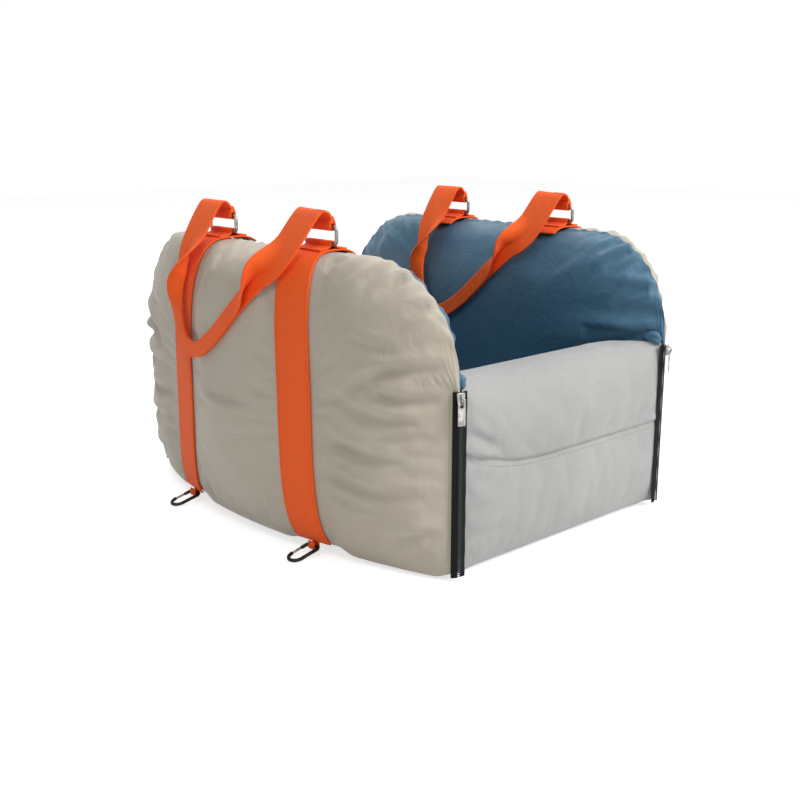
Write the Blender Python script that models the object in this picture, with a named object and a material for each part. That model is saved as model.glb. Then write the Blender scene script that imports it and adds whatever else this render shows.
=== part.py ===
"""A dog car seat: two tall stuffed side walls on a stiff base, low front and rear walls that unzip and fold
down, webbing straps with rings and carry handles, a belt strap and four snap hooks.

Metres, +Z up. The origin is on the ground under the middle of the seat. +Y runs to the rear, +X to the right.
"""

import math

import bmesh
import bpy
from mathutils import Matrix, Vector

# Overall body
SEAT_LENGTH = 0.610
CORNER_SPAN = 0.375
BASE_LIFT = 0.010
GAP = 0.0003
FABRIC = 0.0015
FILLING_GAP = 0.0013

# Side walls, one tall cushion at each side
WALL_HEIGHT = 0.345
WALL_THICKNESS = 0.130
WALL_BOW = 0.025
RIDGE_CORNER_RADIUS = 0.125
FOOT_CORNER_RADIUS = 0.012
WALL_TAPER_POWER = 0.75
RIDGE_POWER = 3.2
FOOT_POWER = 5.0
WALL_COLUMNS = 14
WALL_ROWS = 9

# Low front and rear walls, called flaps because they fold down
FLAP_HEIGHT = 0.214
FLAP_THICKNESS = 0.090
FLAP_CLEARANCE = 0.0030
FLAP_END_POWER = 14.0
FLAP_END_SLANT_SHARE = 0.45
FLAP_POWER = 5.0
FLAP_END_SHARES = (0.0, 0.2, 0.42, 0.64, 0.85)
FLAP_MIDDLE_SHARES = (0.7, 0.42, 0.14)
FLAP_ROWS = 8
FILLING_SKIPPED_COLUMNS = 2

# Roundness shared by the small parts
CORNER_STEPS = 3
MERGE_SHARE = 0.1
SHARP_ANGLE = math.radians(40)

# Base and seat cushion
BASE_COVER_THICKNESS = 0.006
BASE_BOARD_THICKNESS = 0.0034
BASE_END_INSET = 0.025
BASE_CORNER_RADIUS = 0.030
BOARD_INSET = 0.003
BASE_COLUMNS = 4
BASE_ROWS = 16
CUSHION_THICKNESS = 0.050
CUSHION_EDGE = 0.012
CUSHION_CLEARANCE = 0.003
CUSHION_POWER = 6.0
CUSHION_CELLS = 10

# Zips at the four corners
TAPE_HALF_WIDTH = 0.0075
TAPE_THICKNESS = 0.0015
TAPE_STAND = 0.0008
TAPE_DEPTH_SHARE = 0.7
ZIP_FOOT_MARGIN = 0.010
ZIP_TOP_MARGIN = 0.004
SLIDER_WIDTH = 0.0095
SLIDER_HEIGHT = 0.014
SLIDER_THICKNESS = 0.0028
SLIDER_TURN = math.radians(25)
SLIDER_BEVEL = 0.0008
CROWN_RADIUS = 0.0046
CROWN_WIRE = 0.0009
CROWN_SIDES = 8
CROWN_STEPS = 8
PIVOT_SHARE = 0.4
PULL_WIDTH = 0.0085
PULL_LENGTH = 0.030
PULL_THICKNESS = 0.0014
PULL_HOLE_WIDTH = 0.0038
PULL_HOLE_LENGTH = 0.0085
PULL_BAR = 0.0016

# Webbing straps on the side walls
WEBBING_WIDTH = 0.050
WEBBING_THICKNESS = 0.0022
STRAP_SPACING = 0.200
STRAP_STAND = 0.0006
STRAP_FAN = 0.030
STRAP_COLUMNS = 3
STRAP_ROWS = 18
STRAP_FOOT_ANGLE = math.radians(-62)
STRAP_TAIL_ANGLE = math.radians(112)

# Rings, their webbing loops and the carry handles
RING_INNER_WIDTH = 0.053
RING_BAR_SPACING = 0.020
RING_WIRE = 0.0022
RING_CORNER_RADIUS = 0.005
LOOP_RUNNING_GAP = 0.0004
LOOP_LENGTH = 0.046
LOOP_SIDES = 12
HANDLE_DROP = 0.150
HANDLE_ARCH = 0.017
HANDLE_RISE_SHARES = (0.7, 0.25)
HANDLE_CREST_SHARES = (1.0, 1.2)
HANDLE_DROP_SHARES = (0.22, 0.52, 0.84, 1.0, 0.9, 0.55, 0.2)
HANDLE_SPREAD_SHARES = (-0.80, -0.36, 0.16, 0.62, 0.98, 1.12, 1.04)
HANDLE_TURN_SHARES = (0.16, 0.36)
HANDLE_FOLD_SHARES = (0.16, 0.36)
HANDLE_STAND_OFF = 0.008
GRIP_WIDTH = 0.026
HANDLE_COLUMNS = 2
HANDLE_STEPS = 34
CURVE_STEPS = 8

# Belt strap on the outer face of the right wall
BELT_WIDTH = 0.038
BELT_END_MARGIN = 0.015
BELT_HEIGHT = 0.206
BELT_SLACK = 0.012
BELT_SLACK_POWER = 4
BELT_COLUMNS = 20
BELT_ROWS = 2

# Snap hooks at the feet of the straps
HOOK_LENGTH = 0.036
HOOK_WIDTH = 0.020
HOOK_WIRE = 0.0022
HOOK_CORNER_RADIUS = 0.0035
HOOK_START_SHARE = 0.30
HOOK_END_SHARE = 0.70
GATE_WIRE = 0.0016
HOOK_TAB_WIDTH = 0.012
HOOK_OUTREACH = 0.0010

HALF_TURN = math.pi
QUARTER_TURN = math.pi / 2
SIDES = {"left": -1, "right": 1}
ENDS = {"front": -1, "rear": 1}


def clear_scene():
    for old in list(bpy.data.objects):
        bpy.data.objects.remove(old)


def new_collection(name):
    group = bpy.data.collections.new(name)
    bpy.context.scene.collection.children.link(group)
    return group


def new_material(name, colour, roughness, metallic=0.0):
    material = bpy.data.materials.new(name)
    material.use_nodes = True
    shader = material.node_tree.nodes["Principled BSDF"]
    shader.inputs["Base Color"].default_value = (*colour, 1)
    shader.inputs["Roughness"].default_value = roughness
    shader.inputs["Metallic"].default_value = metallic
    return material


clear_scene()
PARTS = new_collection("dog_car_seat")
CUTTERS = new_collection("cutters")
COLOURS = {
    "shell": ((0.46, 0.43, 0.39), 0.55, 0),
    "panel": ((0.50, 0.51, 0.51), 0.55, 0),
    "lining": ((0.045, 0.115, 0.20), 0.45, 0),
    "filling": ((0.80, 0.80, 0.78), 0.9, 0),
    "board": ((0.25, 0.22, 0.18), 0.8, 0),
    "base": ((0.02, 0.02, 0.022), 0.7, 0),
    "tape": ((0.012, 0.012, 0.013), 0.6, 0),
    "webbing": ((0.80, 0.13, 0.025), 0.6, 0),
    "steel": ((0.55, 0.55, 0.56), 0.3, 1),
    "black_steel": ((0.03, 0.03, 0.032), 0.35, 1),
}


def face_outwards(bm):
    """Turns every face of a closed shape outwards. A thin sheet can be turned whole, so its volume tells."""
    bmesh.ops.recalc_face_normals(bm, faces=bm.faces)
    if bm.calc_volume(signed=True) < 0:
        bmesh.ops.reverse_faces(bm, faces=bm.faces)


def add_object(name, bm, colour_name, origin=None):
    """Writes the bmesh to a named object, with its origin moved to a joint's axis where one is given."""
    face_outwards(bm)
    mesh = bpy.data.meshes.new(name)
    if origin is not None:
        bmesh.ops.translate(bm, verts=bm.verts, vec=-Vector(origin))
    bm.to_mesh(mesh)
    bm.free()
    mesh.shade_smooth()
    mesh.set_sharp_from_angle(angle=SHARP_ANGLE)
    mesh.materials.append(new_material(name, *COLOURS[colour_name]))
    part = bpy.data.objects.new(name, mesh)
    part.location = origin or (0, 0, 0)
    PARTS.objects.link(part)
    return part


def signed_power(value, power):
    return math.copysign(abs(value) ** power, value)


def corner_drop(distance, half_length, radius):
    """How far a rounded outline has dropped below its straight edge, this far from the middle."""
    past = max(0.0, abs(distance) - (half_length - radius))
    return radius - math.sqrt(max(0.0, radius**2 - past**2))


def evenly(share):
    """Spaces a grid's lines closer at both ends: 0 to 1 becomes -1 to 1."""
    return math.sin(QUARTER_TURN * (2 * share - 1))


def wall_section(y, inset):
    """Middle line, half thickness, foot and top of a side wall's cross section at this y."""
    half_length = SEAT_LENGTH / 2 - inset
    fullness = max(0.0, 1 - (y / half_length) ** 2)
    middle = CORNER_SPAN / 2 + WALL_BOW * fullness
    half = (WALL_THICKNESS / 2 - inset) * fullness**WALL_TAPER_POWER
    foot = BASE_LIFT + inset + corner_drop(y, half_length, FOOT_CORNER_RADIUS - inset)
    top = BASE_LIFT + WALL_HEIGHT - inset - corner_drop(y, half_length, RIDGE_CORNER_RADIUS - inset)
    return middle, half, foot, top


def wall_point(side, y, angle, inset=0.0, shift=0.0):
    """A point on a side wall's surface. The angle runs from the foot (-90 degrees) up the outer face to
    the ridge (90) and down the inner face. A negative inset lies outside the wall."""
    middle, half, foot, top = wall_section(y, inset)
    power = RIDGE_POWER if math.sin(angle) > 0 else FOOT_POWER
    x = middle + shift + half * signed_power(math.cos(angle), 2 / power)
    z = (top + foot) / 2 + (top - foot) / 2 * signed_power(math.sin(angle), 2 / power)
    return Vector((side * x, y, z))


def wall_face(side, y, z, inset=0.0, face=1):
    """A point at this y and z on a side wall's outer face (1) or inner face (-1)."""
    middle, half, foot, top = wall_section(y, inset)
    height = min(1.0, abs(2 * z - top - foot) / (top - foot))
    power = RIDGE_POWER if 2 * z > top + foot else FOOT_POWER
    return Vector((side * (middle + face * half * (1 - height**power) ** (1 / power)), y, z))


def wall_outward(side, y, z, face):
    """The direction in which a side wall's face looks at this y and z."""
    step = WEBBING_THICKNESS
    along = wall_face(side, y + step, z, 0.0, face) - wall_face(side, y - step, z, 0.0, face)
    up = wall_face(side, y, z + step, 0.0, face) - wall_face(side, y, z - step, 0.0, face)
    outward = along.cross(up).normalized()
    return outward if outward.x * side * face > 0 else -outward


def flap_half_width(depth):
    """Half the flap's width at this depth behind its outer face, which leaves room for the side walls."""
    middle, half, _, _ = wall_section(SEAT_LENGTH / 2 - max(0.0, depth), 0.0)
    return middle - half - FLAP_CLEARANCE


def flap_point(end, across, angle, inset=0.0, shift=0.0):
    """A point on a flap's surface. The angle runs from the foot (-90 degrees) up the outer face to the
    crown (90) and down the inner face; across runs from -1 to 1 between the two zip lines."""
    closing = math.sqrt(max(0.0, 1 - abs(across) ** FLAP_END_POWER))
    half_depth = (FLAP_THICKNESS / 2 - inset) * closing
    depth = inset + half_depth * (1 - signed_power(math.cos(angle), 2 / FLAP_POWER)) - shift
    half_height = FLAP_HEIGHT / 2 - inset
    z = BASE_LIFT + FLAP_HEIGHT / 2 + half_height * signed_power(math.sin(angle), 2 / FLAP_POWER)
    half_width = flap_half_width(depth) - inset * FLAP_END_SLANT_SHARE
    return Vector((across * half_width, end * (SEAT_LENGTH / 2 - depth), z))


def flat_grid(bm, columns, rows):
    """A unit grid of triangles. All sheets share one pattern of diagonals, so that nested ones stay apart."""
    made = bmesh.ops.create_grid(bm, x_segments=columns, y_segments=rows, size=0.5)
    faces = {face for vert in made["verts"] for face in vert.link_faces}
    bmesh.ops.triangulate(bm, faces=list(faces), quad_method="FIXED")
    return made["verts"]


def sheet_between(outer, inner, columns, rows):
    """A closed sheet between two surfaces. Each takes two shares from 0 to 1 and gives a point."""
    bm = bmesh.new()
    flat_grid(bm, columns, rows)
    first = list(bm.verts)
    made = bmesh.ops.extrude_face_region(bm, geom=bm.faces[:])
    second = [part for part in made["geom"] if isinstance(part, bmesh.types.BMVert)]
    for verts, surface in ((first, outer), (second, inner)):
        for vert in verts:
            vert.co = surface(vert.co.x + 0.5, vert.co.y + 0.5)
    return bm


def solid_between(faces, columns, rows):
    """A closed solid from surfaces that meet along their edges."""
    bm = bmesh.new()
    for surface in faces:
        for vert in flat_grid(bm, columns, rows):
            vert.co = surface(vert.co.x + 0.5, vert.co.y + 0.5)
    bmesh.ops.remove_doubles(bm, verts=bm.verts, dist=GAP * MERGE_SHARE)
    return bm


def tube_around_y(centre, length, inner_radius, wall):
    """A short webbing loop: an open cylinder along Y, given its thickness outwards."""
    bm = bmesh.new()
    turn = Matrix.Rotation(QUARTER_TURN, 4, "X")
    bmesh.ops.create_cone(
        bm, cap_ends=False, segments=LOOP_SIDES, radius1=inner_radius, radius2=inner_radius,
        depth=length, matrix=Matrix.Translation(centre) @ turn,
    )
    bmesh.ops.recalc_face_normals(bm, faces=bm.faces)
    bmesh.ops.solidify(bm, geom=bm.faces[:], thickness=-wall)
    return bm


def wall_panel(side, start_angle, inset, shift):
    """One face of a side wall, from the foot to the ridge, as a surface of two shares."""

    def surface(along, round_share):
        y = (SEAT_LENGTH / 2 - inset) * evenly(along)
        return wall_point(side, y, start_angle + HALF_TURN * round_share, inset, shift)

    return surface


def make_side_wall(word, side):
    faces = {"cover": ("shell", -QUARTER_TURN, 1), "lining": ("lining", QUARTER_TURN, -1)}
    for kind, (colour_name, start, direction) in faces.items():
        shift = direction * GAP / 2
        bm = sheet_between(
            wall_panel(side, start, 0.0, shift), wall_panel(side, start, FABRIC, shift),
            WALL_COLUMNS, WALL_ROWS,
        )
        add_object(f"{word}_wall_{kind}", bm, colour_name)
    inset = FABRIC + FILLING_GAP
    bm = solid_between(
        [wall_panel(side, start, inset, 0.0) for start in (-QUARTER_TURN, QUARTER_TURN)],
        WALL_COLUMNS, WALL_ROWS,
    )
    add_object(f"{word}_wall_filling", bm, "filling")


def flap_lines():
    """Where a flap's upright grid lines lie from one zip to the other, closer where its ends round off."""
    right = [(1 - share**2) ** (1 / FLAP_END_POWER) for share in FLAP_END_SHARES]
    right += FLAP_MIDDLE_SHARES
    return right + [-line for line in reversed(right)]


def flap_panel(end, start_angle, inset, shift, first=0):
    """One face of a flap as a surface of two shares, with this many lines left out at each zip."""
    lines = flap_lines()
    lines = lines[first:len(lines) - first]

    def surface(across, round_share):
        line = lines[round(across * (len(lines) - 1))]
        return flap_point(end, line, start_angle + HALF_TURN * round_share, inset, shift)

    return surface


def flap_hinge(end):
    """The line along the flap's outer foot that it folds about."""
    return Vector((0, end * SEAT_LENGTH / 2, BASE_LIFT))


def make_flap(word, end):
    faces = {"cover": ("panel", -QUARTER_TURN, 1), "lining": ("lining", QUARTER_TURN, -1)}
    for kind, (colour_name, start, direction) in faces.items():
        shift = direction * GAP / 2
        bm = sheet_between(
            flap_panel(end, start, 0.0, shift), flap_panel(end, start, FABRIC, shift),
            len(flap_lines()) - 1, FLAP_ROWS,
        )
        add_object(f"{word}_wall_{kind}", bm, colour_name, flap_hinge(end))
    inset = FABRIC + FILLING_GAP
    bm = solid_between(
        [flap_panel(end, start, inset, 0.0, FILLING_SKIPPED_COLUMNS) for start in (-QUARTER_TURN, QUARTER_TURN)],
        len(flap_lines()) - 2 * FILLING_SKIPPED_COLUMNS - 1, FLAP_ROWS,
    )
    bmesh.ops.holes_fill(bm, edges=[edge for edge in bm.edges if edge.is_boundary])
    add_object(f"{word}_wall_filling", bm, "filling", flap_hinge(end))


def base_outline(z, inset):
    """A level surface whose sides bow out under the middles of the side walls, with rounded corners."""
    half_length = SEAT_LENGTH / 2 - BASE_END_INSET - inset

    def surface(across, along):
        y = half_length * evenly(along)
        middle = wall_section(y, 0.0)[0]
        half_width = middle - inset - corner_drop(y, half_length, BASE_CORNER_RADIUS - inset)
        return Vector(((2 * across - 1) * half_width, y, z))

    return surface


def make_base():
    """The padded base cloth on the ground and the stiff board on it, which carries the walls."""
    low = BASE_COVER_THICKNESS + GAP
    layers = (
        ("base_cover", "base", 0.0, BASE_COVER_THICKNESS, 0.0),
        ("base_board", "board", low, low + BASE_BOARD_THICKNESS, BOARD_INSET),
    )
    for name, colour_name, foot, top, inset in layers:
        bm = sheet_between(base_outline(top, inset), base_outline(foot, inset), BASE_COLUMNS, BASE_ROWS)
        add_object(name, bm, colour_name)


def cushion_surface(top):
    """The seat cushion's crowned top, or its flat underside, between the walls' inner faces."""
    half_length = SEAT_LENGTH / 2 - FLAP_THICKNESS - CUSHION_CLEARANCE
    low = BASE_LIFT + GAP

    def surface(across, along):
        a, b = evenly(across), evenly(along)
        y = half_length * b
        middle, half, _, _ = wall_section(y, 0.0)
        crown = math.sqrt((1 - abs(a) ** CUSHION_POWER) * (1 - abs(b) ** CUSHION_POWER))
        height = CUSHION_EDGE + (CUSHION_THICKNESS - CUSHION_EDGE) * crown
        return Vector((a * (middle - half - CUSHION_CLEARANCE), y, low + top * height))

    return surface


def make_cushion():
    bm = sheet_between(cushion_surface(1), cushion_surface(0), CUSHION_CELLS, CUSHION_CELLS)
    add_object("seat_cushion", bm, "lining")


def zip_span():
    """Lowest and highest point of a corner zip."""
    return BASE_LIFT + ZIP_FOOT_MARGIN, BASE_LIFT + FLAP_HEIGHT - ZIP_TOP_MARGIN


def upright_strip(name, colour_name, corner, across, outward, width, thickness, span, origin):
    """A flat upright strip that starts at a corner line and runs across, with its back to the corner."""
    low, high = span
    axes = Matrix((across, outward, Vector((0, 0, 1)))).transposed().to_4x4()
    axes.translation = Vector((corner.x, corner.y, (low + high) / 2))
    axes = axes @ Matrix.Translation((width / 2, thickness / 2, 0))
    bm = bmesh.new()
    scale = Matrix.Diagonal((width, thickness, high - low, 1))
    bmesh.ops.create_cube(bm, size=1, matrix=axes @ scale)
    return add_object(name, bm, colour_name, origin)


def make_zip_tapes(end_word, end, side_word, side):
    """The two halves of a corner zip's tape, one sewn to the side wall and one to the flap."""
    names = f"{end_word}_{side_word}_zip"
    tip = Vector((side * CORNER_SPAN / 2, end * SEAT_LENGTH / 2, 0))
    behind = wall_face(side, end * (SEAT_LENGTH / 2 - TAPE_HALF_WIDTH * TAPE_DEPTH_SHARE), zip_span()[1] / 2)
    across = Vector((behind.x - tip.x, behind.y - tip.y, 0)).normalized()
    outward = Vector((side * abs(across.y), end * abs(across.x), 0))
    upright_strip(
        f"{names}_wall_tape", "tape", tip + outward * TAPE_STAND, across, outward,
        TAPE_HALF_WIDTH, TAPE_THICKNESS, zip_span(), None,
    )
    start = Vector((side * flap_half_width(0.0), end * (SEAT_LENGTH / 2 + GAP), 0))
    upright_strip(
        f"{names}_flap_tape", "tape", start, Vector((-side, 0, 0)), Vector((0, end, 0)),
        TAPE_HALF_WIDTH, TAPE_THICKNESS, zip_span(), flap_hinge(end),
    )


def slider_frame(end, side):
    """The slider's own axes: X along the tape's width, Y away from the seat, Z up; origin at its back."""
    outward = Vector((side * math.sin(SLIDER_TURN), end * math.cos(SLIDER_TURN), 0))
    across = Vector((0, 0, 1)).cross(outward) * -1
    stand = TAPE_STAND + TAPE_THICKNESS + GAP
    corner = Vector((side * CORNER_SPAN / 2, end * SEAT_LENGTH / 2, zip_span()[1] - SLIDER_HEIGHT / 2))
    place = Matrix((across, outward, Vector((0, 0, 1)))).transposed().to_4x4()
    place.translation = corner + outward * stand
    return place


def make_slider(end_word, end, side_word, side):
    """The zip slider with its crown, and the pull tab that hangs from the crown."""
    place = slider_frame(end, side)
    name = f"{end_word}_{side_word}_zip_slider"
    bm = bmesh.new()
    scale = Matrix.Diagonal((SLIDER_WIDTH, SLIDER_THICKNESS, SLIDER_HEIGHT, 1))
    bmesh.ops.create_cube(bm, size=1, matrix=Matrix.Translation((0, SLIDER_THICKNESS / 2, 0)) @ scale)
    bmesh.ops.bevel(bm, geom=bm.edges[:], offset=SLIDER_BEVEL, segments=1, affect="EDGES")
    bmesh.ops.transform(bm, matrix=place, verts=bm.verts)
    slider = add_object(name, bm, "steel", place.translation)

    crown = bmesh.new()
    made = bmesh.ops.create_circle(crown, cap_ends=True, segments=CROWN_SIDES, radius=CROWN_WIRE)
    start = Matrix.Translation((0, 0, CROWN_RADIUS)) @ Matrix.Rotation(QUARTER_TURN, 4, "X")
    bmesh.ops.transform(crown, matrix=start, verts=made["verts"])
    bmesh.ops.spin(
        crown, geom=crown.faces[:] + crown.edges[:] + crown.verts[:], cent=(0, 0, 0), axis=(1, 0, 0),
        angle=-HALF_TURN, steps=CROWN_STEPS,
    )
    sunk = Matrix.Translation((0, SLIDER_THICKNESS - CROWN_WIRE / 2, 0))
    bmesh.ops.transform(crown, matrix=place @ sunk, verts=crown.verts)
    face_outwards(crown)
    mesh = bpy.data.meshes.new(f"{name}_crown")
    crown.to_mesh(mesh)
    crown.free()
    cutter = bpy.data.objects.new(f"{name}_crown", mesh)
    cutter.hide_render = True
    cutter.display_type = "WIRE"
    CUTTERS.objects.link(cutter)
    union = slider.modifiers.new("crown", "BOOLEAN")
    union.operation = "UNION"
    union.solver = "EXACT"
    union.object = cutter

    pivot_out = SLIDER_THICKNESS + CROWN_RADIUS * PIVOT_SHARE
    make_pull(f"{end_word}_{side_word}_zip_pull", place, pivot_out)


def make_pull(name, place, pivot_out):
    """A flat pull tab with a window at its top; the bar above the window sits behind the slider's crown."""
    bm = bmesh.new()
    half_width, half_hole = PULL_WIDTH / 2, PULL_HOLE_WIDTH / 2
    top = PULL_BAR / 2
    hole_top, hole_foot = -PULL_BAR / 2, -PULL_BAR / 2 - PULL_HOLE_LENGTH
    foot = top - PULL_LENGTH
    for x in (-half_width, -half_hole, half_hole, half_width):
        for z in (foot, hole_foot, hole_top, top):
            bm.verts.new((x, -PULL_THICKNESS / 2, z))
    bm.verts.ensure_lookup_table()
    for column in range(3):
        for row in range(3):
            if (column, row) == (1, 1):
                continue
            first = 4 * column + row
            corners = (first, first + 1, first + 5, first + 4)
            bm.faces.new([bm.verts[corner] for corner in corners])
    made = bmesh.ops.extrude_face_region(bm, geom=bm.faces[:])
    moved = [part for part in made["geom"] if isinstance(part, bmesh.types.BMVert)]
    bmesh.ops.translate(bm, verts=moved, vec=(0, PULL_THICKNESS, 0))
    pivot = place @ Matrix.Translation((0, pivot_out, 0))
    bmesh.ops.transform(bm, matrix=pivot, verts=bm.verts)
    add_object(name, bm, "steel", pivot.translation)


def strap_middle(y, angle):
    """The strap's middle line at this angle: the straps of a wall spread apart on their way down to the foot."""
    share = max(0.0, (QUARTER_TURN - angle) / (QUARTER_TURN - STRAP_FOOT_ANGLE))
    return y + math.copysign(STRAP_FAN * share, y)


def make_strap(name, side, y):
    """A webbing strap from the foot of the wall up its outer face and over the ridge."""

    def at_lift(lift):
        def surface(across, up):
            angle = STRAP_FOOT_ANGLE + up * (STRAP_TAIL_ANGLE - STRAP_FOOT_ANGLE)
            middle = strap_middle(y, angle)
            return wall_point(side, middle + (across - 0.5) * WEBBING_WIDTH, angle, -lift)

        return surface

    bm = sheet_between(
        at_lift(STRAP_STAND + WEBBING_THICKNESS), at_lift(STRAP_STAND), STRAP_COLUMNS, STRAP_ROWS,
    )
    add_object(name, bm, "webbing")


def loop_radii():
    inner = RING_WIRE + LOOP_RUNNING_GAP
    return inner, inner + WEBBING_THICKNESS


def ring_bar(side, y, upper):
    """Centre of a ring's lower or upper bar, above the strap where it crosses the ridge."""
    middle, _, _, top = wall_section(STRAP_SPACING / 2, 0.0)
    lower = top + STRAP_STAND + GAP + WEBBING_THICKNESS + loop_radii()[1]
    return Vector((side * middle, y, lower + upper * RING_BAR_SPACING))


def make_ring(name, side, y):
    """A rectangular ring of bent wire, standing on its lower bar."""
    half_width = RING_INNER_WIDTH / 2 + RING_WIRE
    half_height = RING_BAR_SPACING / 2
    centre = (ring_bar(side, y, 0) + ring_bar(side, y, 1)) / 2
    points = []
    for corner in range(4):
        for step in range(CORNER_STEPS + 1):
            angle = QUARTER_TURN * (corner + step / CORNER_STEPS)
            sign_y = 1 if corner in (0, 3) else -1
            sign_z = 1 if corner in (0, 1) else -1
            points.append((
                0.0,
                sign_y * (half_width - RING_CORNER_RADIUS) + RING_CORNER_RADIUS * math.cos(angle),
                sign_z * (half_height - RING_CORNER_RADIUS) + RING_CORNER_RADIUS * math.sin(angle),
            ))
    curve = bpy.data.curves.new(name, "CURVE")
    curve.dimensions = "3D"
    curve.bevel_depth = RING_WIRE
    curve.bevel_resolution = 2
    spline = curve.splines.new("POLY")
    spline.points.add(len(points) - 1)
    for point, place in zip(spline.points, points):
        point.co = (*(Vector(place) + centre - ring_bar(side, y, 0)), 1)
    spline.use_cyclic_u = True
    curve.materials.append(new_material(name, *COLOURS["steel"]))
    ring = bpy.data.objects.new(name, curve)
    ring.location = ring_bar(side, y, 0)
    PARTS.objects.link(ring)


def handle_line(side, face):
    """The handle's centre line from the front ring to the rear ring, hanging down one face of its wall."""
    half = STRAP_SPACING / 2
    bar = ring_bar(side, 0, 1)
    start = loop_radii()[0] + WEBBING_THICKNESS / 2
    over = [Vector((bar.x, 0, bar.z + start))]
    for up_share, out_share in (HANDLE_RISE_SHARES, HANDLE_CREST_SHARES):
        out = side * face * HANDLE_ARCH * out_share
        over.append(Vector((bar.x + out, 0, bar.z + start + HANDLE_ARCH * up_share)))
    line = [Vector((point.x, -half, point.z)) for point in over]
    for drop_share, spread_share in zip(HANDLE_DROP_SHARES, HANDLE_SPREAD_SHARES):
        z = bar.z - RING_BAR_SPACING / 2 - drop_share * HANDLE_DROP
        lift = HANDLE_STAND_OFF + WEBBING_THICKNESS
        line.append(wall_face(side, spread_share * half, z, -lift, face))
    return line + [Vector((point.x, half, point.z)) for point in reversed(over)]


def ramp(value, limits):
    """Goes smoothly from 0 at the first limit to 1 at the second."""
    share = min(1.0, max(0.0, (value - limits[0]) / (limits[1] - limits[0])))
    return share * share * (3 - 2 * share)


def smooth_line(points, steps):
    """Points at even steps along a smooth curve through the given ones, as a Catmull-Rom spline."""
    ends = [2 * points[0] - points[1], *points, 2 * points[-1] - points[-2]]
    fine = []
    for a, b, c, d in zip(ends, ends[1:], ends[2:], ends[3:]):
        for step in range(CURVE_STEPS):
            t = step / CURVE_STEPS
            fine.append(
                0.5 * (2 * b + t * (c - a) + t**2 * (2 * a - 5 * b + 4 * c - d)
                       + t**3 * (3 * b - a - 3 * c + d))
            )
    fine.append(points[-1])
    lengths = [0.0]
    for first, second in zip(fine, fine[1:]):
        lengths.append(lengths[-1] + (second - first).length)
    even = []
    index = 0
    for step in range(steps + 1):
        target = lengths[-1] * step / steps
        while index < len(fine) - 2 and lengths[index + 1] < target:
            index += 1
        share = (target - lengths[index]) / (lengths[index + 1] - lengths[index])
        even.append(fine[index].lerp(fine[index + 1], share))
    return even


def handle_frames(side, face):
    """Centre, direction across the band, direction through it and how far it is folded, at each step."""
    line = smooth_line(handle_line(side, face), HANDLE_STEPS)
    count = len(line)
    lower = ring_bar(side, 0, 1).z - HANDLE_DROP / 2
    frames = []
    for index, point in enumerate(line):
        tangent = (line[min(index + 1, count - 1)] - line[max(index - 1, 0)]).normalized()
        from_end = min(index, count - 1 - index) / (count - 1)
        at_ring = Vector((0, 1 if index < count / 2 else -1, 0))
        outward = wall_outward(side, point.y, min(point.z, lower), face)
        flat = tangent.cross(outward).normalized()
        if flat.dot(at_ring) < 0 and from_end < HANDLE_TURN_SHARES[0]:
            flat = -flat
        across = at_ring.lerp(flat, ramp(from_end, HANDLE_TURN_SHARES))
        across = (across - tangent * across.dot(tangent)).normalized()
        through = tangent.cross(across).normalized()
        frames.append((point, across, through, ramp(from_end, HANDLE_FOLD_SHARES)))
    return frames


def make_handle(name, side, face):
    """A carry handle: webbing whose ends loop round the rings' upper bars, folded in half for the grip."""
    frames = handle_frames(side, face)
    count = len(frames)

    def at_face(direction):
        def surface(along, width_share):
            point, across, through, fold = frames[round(along * (count - 1))]
            width = LOOP_LENGTH + (GRIP_WIDTH - LOOP_LENGTH) * fold
            half_thick = WEBBING_THICKNESS * (1 + fold) / 2
            return point + across * (width_share - 0.5) * width + through * direction * half_thick

        return surface

    bm = sheet_between(at_face(1), at_face(-1), count - 1, HANDLE_COLUMNS)
    hinge = ring_bar(side, 0, 1)
    handle = add_object(name, bm, "webbing", hinge)
    for number, y in enumerate((-STRAP_SPACING / 2, STRAP_SPACING / 2)):
        inner, outer = loop_radii()
        tube = tube_around_y(ring_bar(side, y, 1), LOOP_LENGTH, inner, outer - inner)
        face_outwards(tube)
        mesh = bpy.data.meshes.new(f"{name}_loop_{number}")
        tube.to_mesh(mesh)
        tube.free()
        loop = bpy.data.objects.new(f"{name}_loop_{number}", mesh)
        loop.hide_render = True
        loop.display_type = "WIRE"
        CUTTERS.objects.link(loop)
        union = handle.modifiers.new(f"loop_{number}", "BOOLEAN")
        union.operation = "UNION"
        union.solver = "EXACT"
        union.object = loop


def make_belt_strap():
    """A slack horizontal strap across the right wall's outer face, for a belt or a seat back."""
    half = SEAT_LENGTH / 2 - BELT_END_MARGIN

    def at_lift(extra):
        def surface(along, up):
            y = half * evenly(along)
            slack = BELT_SLACK * (1 - abs(y / half) ** BELT_SLACK_POWER)
            z = BELT_HEIGHT + (up - 0.5) * BELT_WIDTH
            return wall_face(1, y, z, -STRAP_STAND - extra) + Vector((slack, 0, 0))

        return surface

    bm = sheet_between(at_lift(WEBBING_THICKNESS), at_lift(0.0), BELT_COLUMNS, BELT_ROWS)
    add_object("belt_strap", bm, "webbing")


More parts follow.
